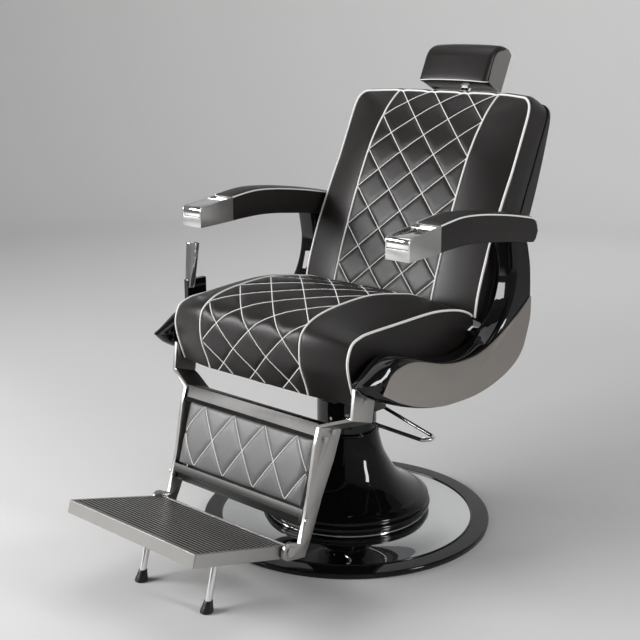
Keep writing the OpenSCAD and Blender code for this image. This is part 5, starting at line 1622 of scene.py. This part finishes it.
@dataclass
class LegRest:
    """The leg rest's frame and its quilted calf pad."""

    width: float = 370.0
    height: float = 137.0
    thickness: float = 34.0
    front_w: float = 44.0
    crown: float = 6.0
    top_v: float = -127.0
    diamonds: int = 4
    rows: int = 60
    stations: int = 121
    side_crown: float = 1.0

    def section(self, x: float) -> np.ndarray:
        """The pad's path at a station, from its top rear corner over its face to its foot."""
        s = abs(x) / (self.width / 2)
        edge = min(1.0, (1 - s) / 0.1)
        crown = self.crown * max(math.sqrt(edge), 0.08)
        rear = self.thickness - self.front_w
        t = np.linspace(1, 0, 41)
        face = rear - self.thickness + self.crown - 2 * crown * np.sqrt(t * (1 - t))
        foot = self.top_v - self.height
        line = np.column_stack([face, foot + t * self.height])
        return np.concatenate([[[rear, self.top_v]], line, [[rear, foot]]])

    def face(self, x: float) -> np.ndarray:
        """The face's part of the path at a station."""
        return resampled(self.section(x)[1:-1], self.rows)

    def build(self, shop: Workshop) -> None:
        """Makes the pad and its thread, and rounds the frame's bars."""
        quilt = Quilt(self.face, self.width / 2, self.width + 20, self.width / self.diamonds, 1.0, shift=0.5,
                      groove=2.4, puff=1.2, seam=0.0, fade=0.0)
        face = quilt.build(self.stations)
        rear = self.thickness - self.front_w
        tail = np.array([[[x, rear, self.top_v - self.height], [x, rear, self.top_v]] for x in quilt.xs])
        rings = np.concatenate([face, tail], 1)
        # The calf pad gets the lightened leather, a painted sheen.
        close_off(shop, "calf_leather_painted_sheen", rings, self.side_crown, "leg_rest", "calf_pad", LEG_LEAN, Finish.CALF)
        quilt.panel = self.width - 4
        Thread().sew(shop, "calf", quilt, "leg_rest", LEG_LEAN)
        for node in ("leg_arm_left", "leg_arm_right"):
            shop.softened(node, Finish.BAR)
        # The crossbars get the darkened copy of the bar metal, a painted shade.
        for node in ("upper_crossbar", "lower_crossbar"):
            shop.softened(node, Finish.CROSSBAR)


@dataclass
class FootPlate:
    """The foot plate's narrow rim, its ribbed tread and the rubber feet of its props."""

    half: float = 193.0
    length: float = 259.0
    rear: float = 5.4
    top: float = 10.1
    low: float = -16.9
    rim_w: float = 7.0
    corner_r: float = 3.0
    bevel: float = 0.4
    ribs: int = 21
    rib_share: float = 0.3
    rib_h: float = 0.9
    rib_edge: float = 0.4
    slab_t: float = 5.0
    tread_gap: float = 0.2
    prop_spread: float = 203.0
    prop_reach: float = 101.7
    feet: Shares = ((0.3, 12.6), (0.9, 13.6), (6, 13.4), (12, 11.6), (20, 9.6), (23.4, 9.1), (24, 8.5))

    def rim(self, shop: Workshop) -> None:
        """The rim, as loops round a thin upright section."""
        e, w = self.bevel, self.rim_w
        near, far = self.rear - self.length, self.rear
        rows = []
        for inset, z in ((w, self.low), (e, self.low), (0, self.low + e), (0, self.top - e), (e, self.top),
                         (w - e, self.top), (w, self.top - e), (w, self.low)):
            loop = rounded((-self.half + inset, near + inset), (self.half - inset, far - inset),
                           max(self.corner_r - inset, e))
            rows.append(at_height(loop, z))
        rings = PLATE_LEAN(np.array(rows))
        shop.grid("plate_rim", rings, Finish.BAR, "foot_plate", ["plate_frame"], capped=False)

    def tread(self, shop: Workshop) -> None:
        """The dark tread and its bright ribs along X."""
        inset = self.rim_w + self.tread_gap
        half, near = self.half - self.rim_w - self.tread_gap, self.rear - self.length + inset
        far, floor = self.rear - self.rim_w - self.tread_gap, self.top - self.rib_h
        shop.slab("tread_floor", (-half, near, floor - self.slab_t), (half, far, floor), Finish.GROOVE,
                  "foot_plate", ["tread_plate"], radius=1.0, pose=PLATE_LEAN)
        pitch = (far - near) / self.ribs
        w, e = self.rib_share * pitch / 2, self.rib_edge
        high = self.rib_h
        section = [[-w, -0.5], [w, -0.5], [w, high - e], [w - e, high], [e - w, high], [-w, high - e]]
        section = np.array(section) + (0, floor)
        bars = []
        for k in range(self.ribs):
            y = near + (k + 0.5) * pitch
            ends = [at_station(section + (y, 0), x) for x in (-half + 1, half - 1)]
            bars.append(PLATE_LEAN(np.array(ends)))
        points, faces = joined(bars)
        shop.piece("tread_ribs", points, faces, Finish.TREAD, "foot_plate")

    def build(self, shop: Workshop) -> None:
        """Makes the rim, the tread and the level feet."""
        self.rim(shop)
        self.tread(shop)
        _, foot_y, foot_z = PLATE_LEAN(np.array([0, -self.prop_reach, 0]))
        slope = math.tan(math.radians(PLATE_LEAN.degrees))
        a = np.linspace(0, 2 * math.pi, 40, endpoint=False)
        cones = []
        for sign in (-1, 1):
            rings = []
            for z, r in self.feet:
                y = foot_y - (foot_z - z) * slope
                x = sign * self.prop_spread / 2
                rings.append(at_height(np.column_stack([x + r * np.cos(a), y + r * np.sin(a)]), z))
            cones.append(np.array(rings))
        points, faces = joined(cones)
        shop.piece("prop_feet_cones", points, faces, Finish.RUBBER, "foot_plate", ["prop_feet"])


# Studio


@dataclass(frozen=True)
class Lamp:
    """One rectangular soft lamp, in metres and watts.

    Attributes:
        name: Its name.
        place: Where it stands.
        aim: The point that it faces.
        size: Its two sides.
        power: Its power.
    """

    name: str
    place: tuple[float, float, float]
    aim: tuple[float, float, float]
    size: tuple[float, float]
    power: float

    def hang(self) -> None:
        """Puts the lamp in the scene."""
        data = bpy.data.lights.new(self.name, "AREA")
        data.shape = "RECTANGLE"
        data.size, data.size_y = self.size
        data.energy = self.power
        lamp = linked(self.name, data)
        lamp.location = self.place
        lamp.rotation_euler = (Vector(self.aim) - Vector(self.place)).to_track_quat("-Z", "Y").to_euler()


@dataclass
class Studio:
    """The camera, the floor with its backdrop, the lamps and the world, in metres."""

    camera_at: tuple[float, float, float] = (1.65294, -1.94293, 1.13567)
    azimuth: float = 41.80
    elevation: float = 14.39
    lens: float = 64.30
    sensor: float = 36.0
    floor_colour: tuple[float, float, float] = (0.68, 0.68, 0.677)
    floor_r: float = 4.2
    bend_r: float = 1.8
    wall_z: float = 6.0
    sunk: float = 0.0005
    world_colour: tuple[float, float, float] = (0.75, 0.76, 0.78)
    world_strength: float = 0.155
    lamps: tuple[Lamp, ...] = (
        Lamp("key", (-1.85, -2.4, 1.6), (0, 0, 0.6), (2.0, 1.2), 113),
        Lamp("window", (3.15, 0.39, 1.8), (0, 0, 0.6), (0.42, 1.3), 38),
        Lamp("top", (-0.3, 0.3, 3.4), (0, 0, 0.4), (2.4, 2.4), 26),
        Lamp("backdrop_wash", (-0.5, 2.5, 3.2), (-2.5, 5.4, 1.5), (2.8, 1.6), 66),
    )

    def build(self) -> None:
        """Sets up the whole studio."""
        self.camera()
        self.floor()
        for lamp in self.lamps:
            lamp.hang()
        self.world()
        bpy.context.scene.view_settings.view_transform = "Standard"

    def camera(self) -> None:
        """The camera, at the photograph's place and angle."""
        az, el = math.radians(self.azimuth), math.radians(self.elevation)
        back = Vector((math.sin(az) * math.cos(el), -math.cos(az) * math.cos(el), math.sin(el)))
        right = Vector((math.cos(az), math.sin(az), 0))
        up = back.cross(right)
        data = bpy.data.cameras.new("photograph")
        data.lens, data.sensor_width = self.lens, self.sensor
        camera = linked("photograph", data)
        turn = Matrix((right, up, back)).transposed().to_4x4()
        camera.matrix_world = Matrix.Translation(self.camera_at) @ turn
        bpy.context.scene.camera = camera

    def floor(self) -> None:
        """A pale floor that curves up into a backdrop all round."""
        a = np.linspace(0, 2 * math.pi, 96, endpoint=False)
        flat, bend = self.floor_r, self.bend_r
        profile = [(0.001, 0.0), (2.0, 0.0), (flat, 0.0)]
        turn = np.linspace(0.1, math.pi / 2, 14)
        profile += [(flat + bend * math.sin(t), bend - bend * math.cos(t)) for t in turn]
        profile += [(flat + bend, self.wall_z)]
        points = np.array([[r * math.cos(b), r * math.sin(b), z - self.sunk] for b in a for r, z in profile])
        m, n = len(a), len(profile)
        faces = [((i % m) * n + j, ((i + 1) % m) * n + j, ((i + 1) % m) * n + j + 1, (i % m) * n + j + 1)
                 for i in range(m) for j in range(n - 1)]
        mesh = bpy.data.meshes.new("backdrop")
        mesh.from_pydata(points.tolist(), [], faces)
        mesh.shade_smooth()
        material = bpy.data.materials.new("pale_backdrop")
        material.use_nodes = True
        shader = material.node_tree.nodes["Principled BSDF"]
        shader.inputs["Base Color"].default_value = (*self.floor_colour, 1)
        shader.inputs["Roughness"].default_value = 0.75
        shader.inputs["Specular IOR Level"].default_value = 0.2
        mesh.materials.append(material)
        linked("backdrop", mesh)

    def world(self) -> None:
        """A soft even light from all round."""
        world = bpy.data.worlds.new("soft_world")
        bpy.context.scene.world = world
        world.use_nodes = True
        background = world.node_tree.nodes["Background"]
        background.inputs["Color"].default_value = (*self.world_colour, 1)
        background.inputs["Strength"].default_value = self.world_strength


# Assembly


FINISH_OF_SLOT: dict[str, Finish] = {
    "dark_leather": Finish.LEATHER, "black_lacquer": Finish.LACQUER, "mirror_chrome": Finish.CHROME,
    "plain_steel": Finish.STEEL, "frame_paint": Finish.PAINT, "satin_panel": Finish.PANEL,
    "satin_bar": Finish.BAR, "tread_ribs": Finish.TREAD, "plywood": Finish.WOOD,
    "black_rubber": Finish.RUBBER,
}


def main() -> None:
    """Builds every sub-assembly round the frame."""
    logging.basicConfig(level=logging.INFO, format="%(name)s: %(message)s")
    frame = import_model()
    shop = Workshop(frame, FinishShop())
    Studio().build()
    arms, back = ArmRests(), BackCushion()
    Base().build(shop)
    SeatCushion().build(shop)
    back.build(shop)
    BackShell().build(shop, back)
    arms.build(shop)
    SideShells().build(shop, arms)
    HeadRest().build(shop)
    LegRest().build(shop)
    FootPlate().build(shop)
    shop.carry_over({p["node"]: FINISH_OF_SLOT[p["material_slot"]] for p in frame["record"]["subparts"]})


if __name__ == "__main__":
    main()
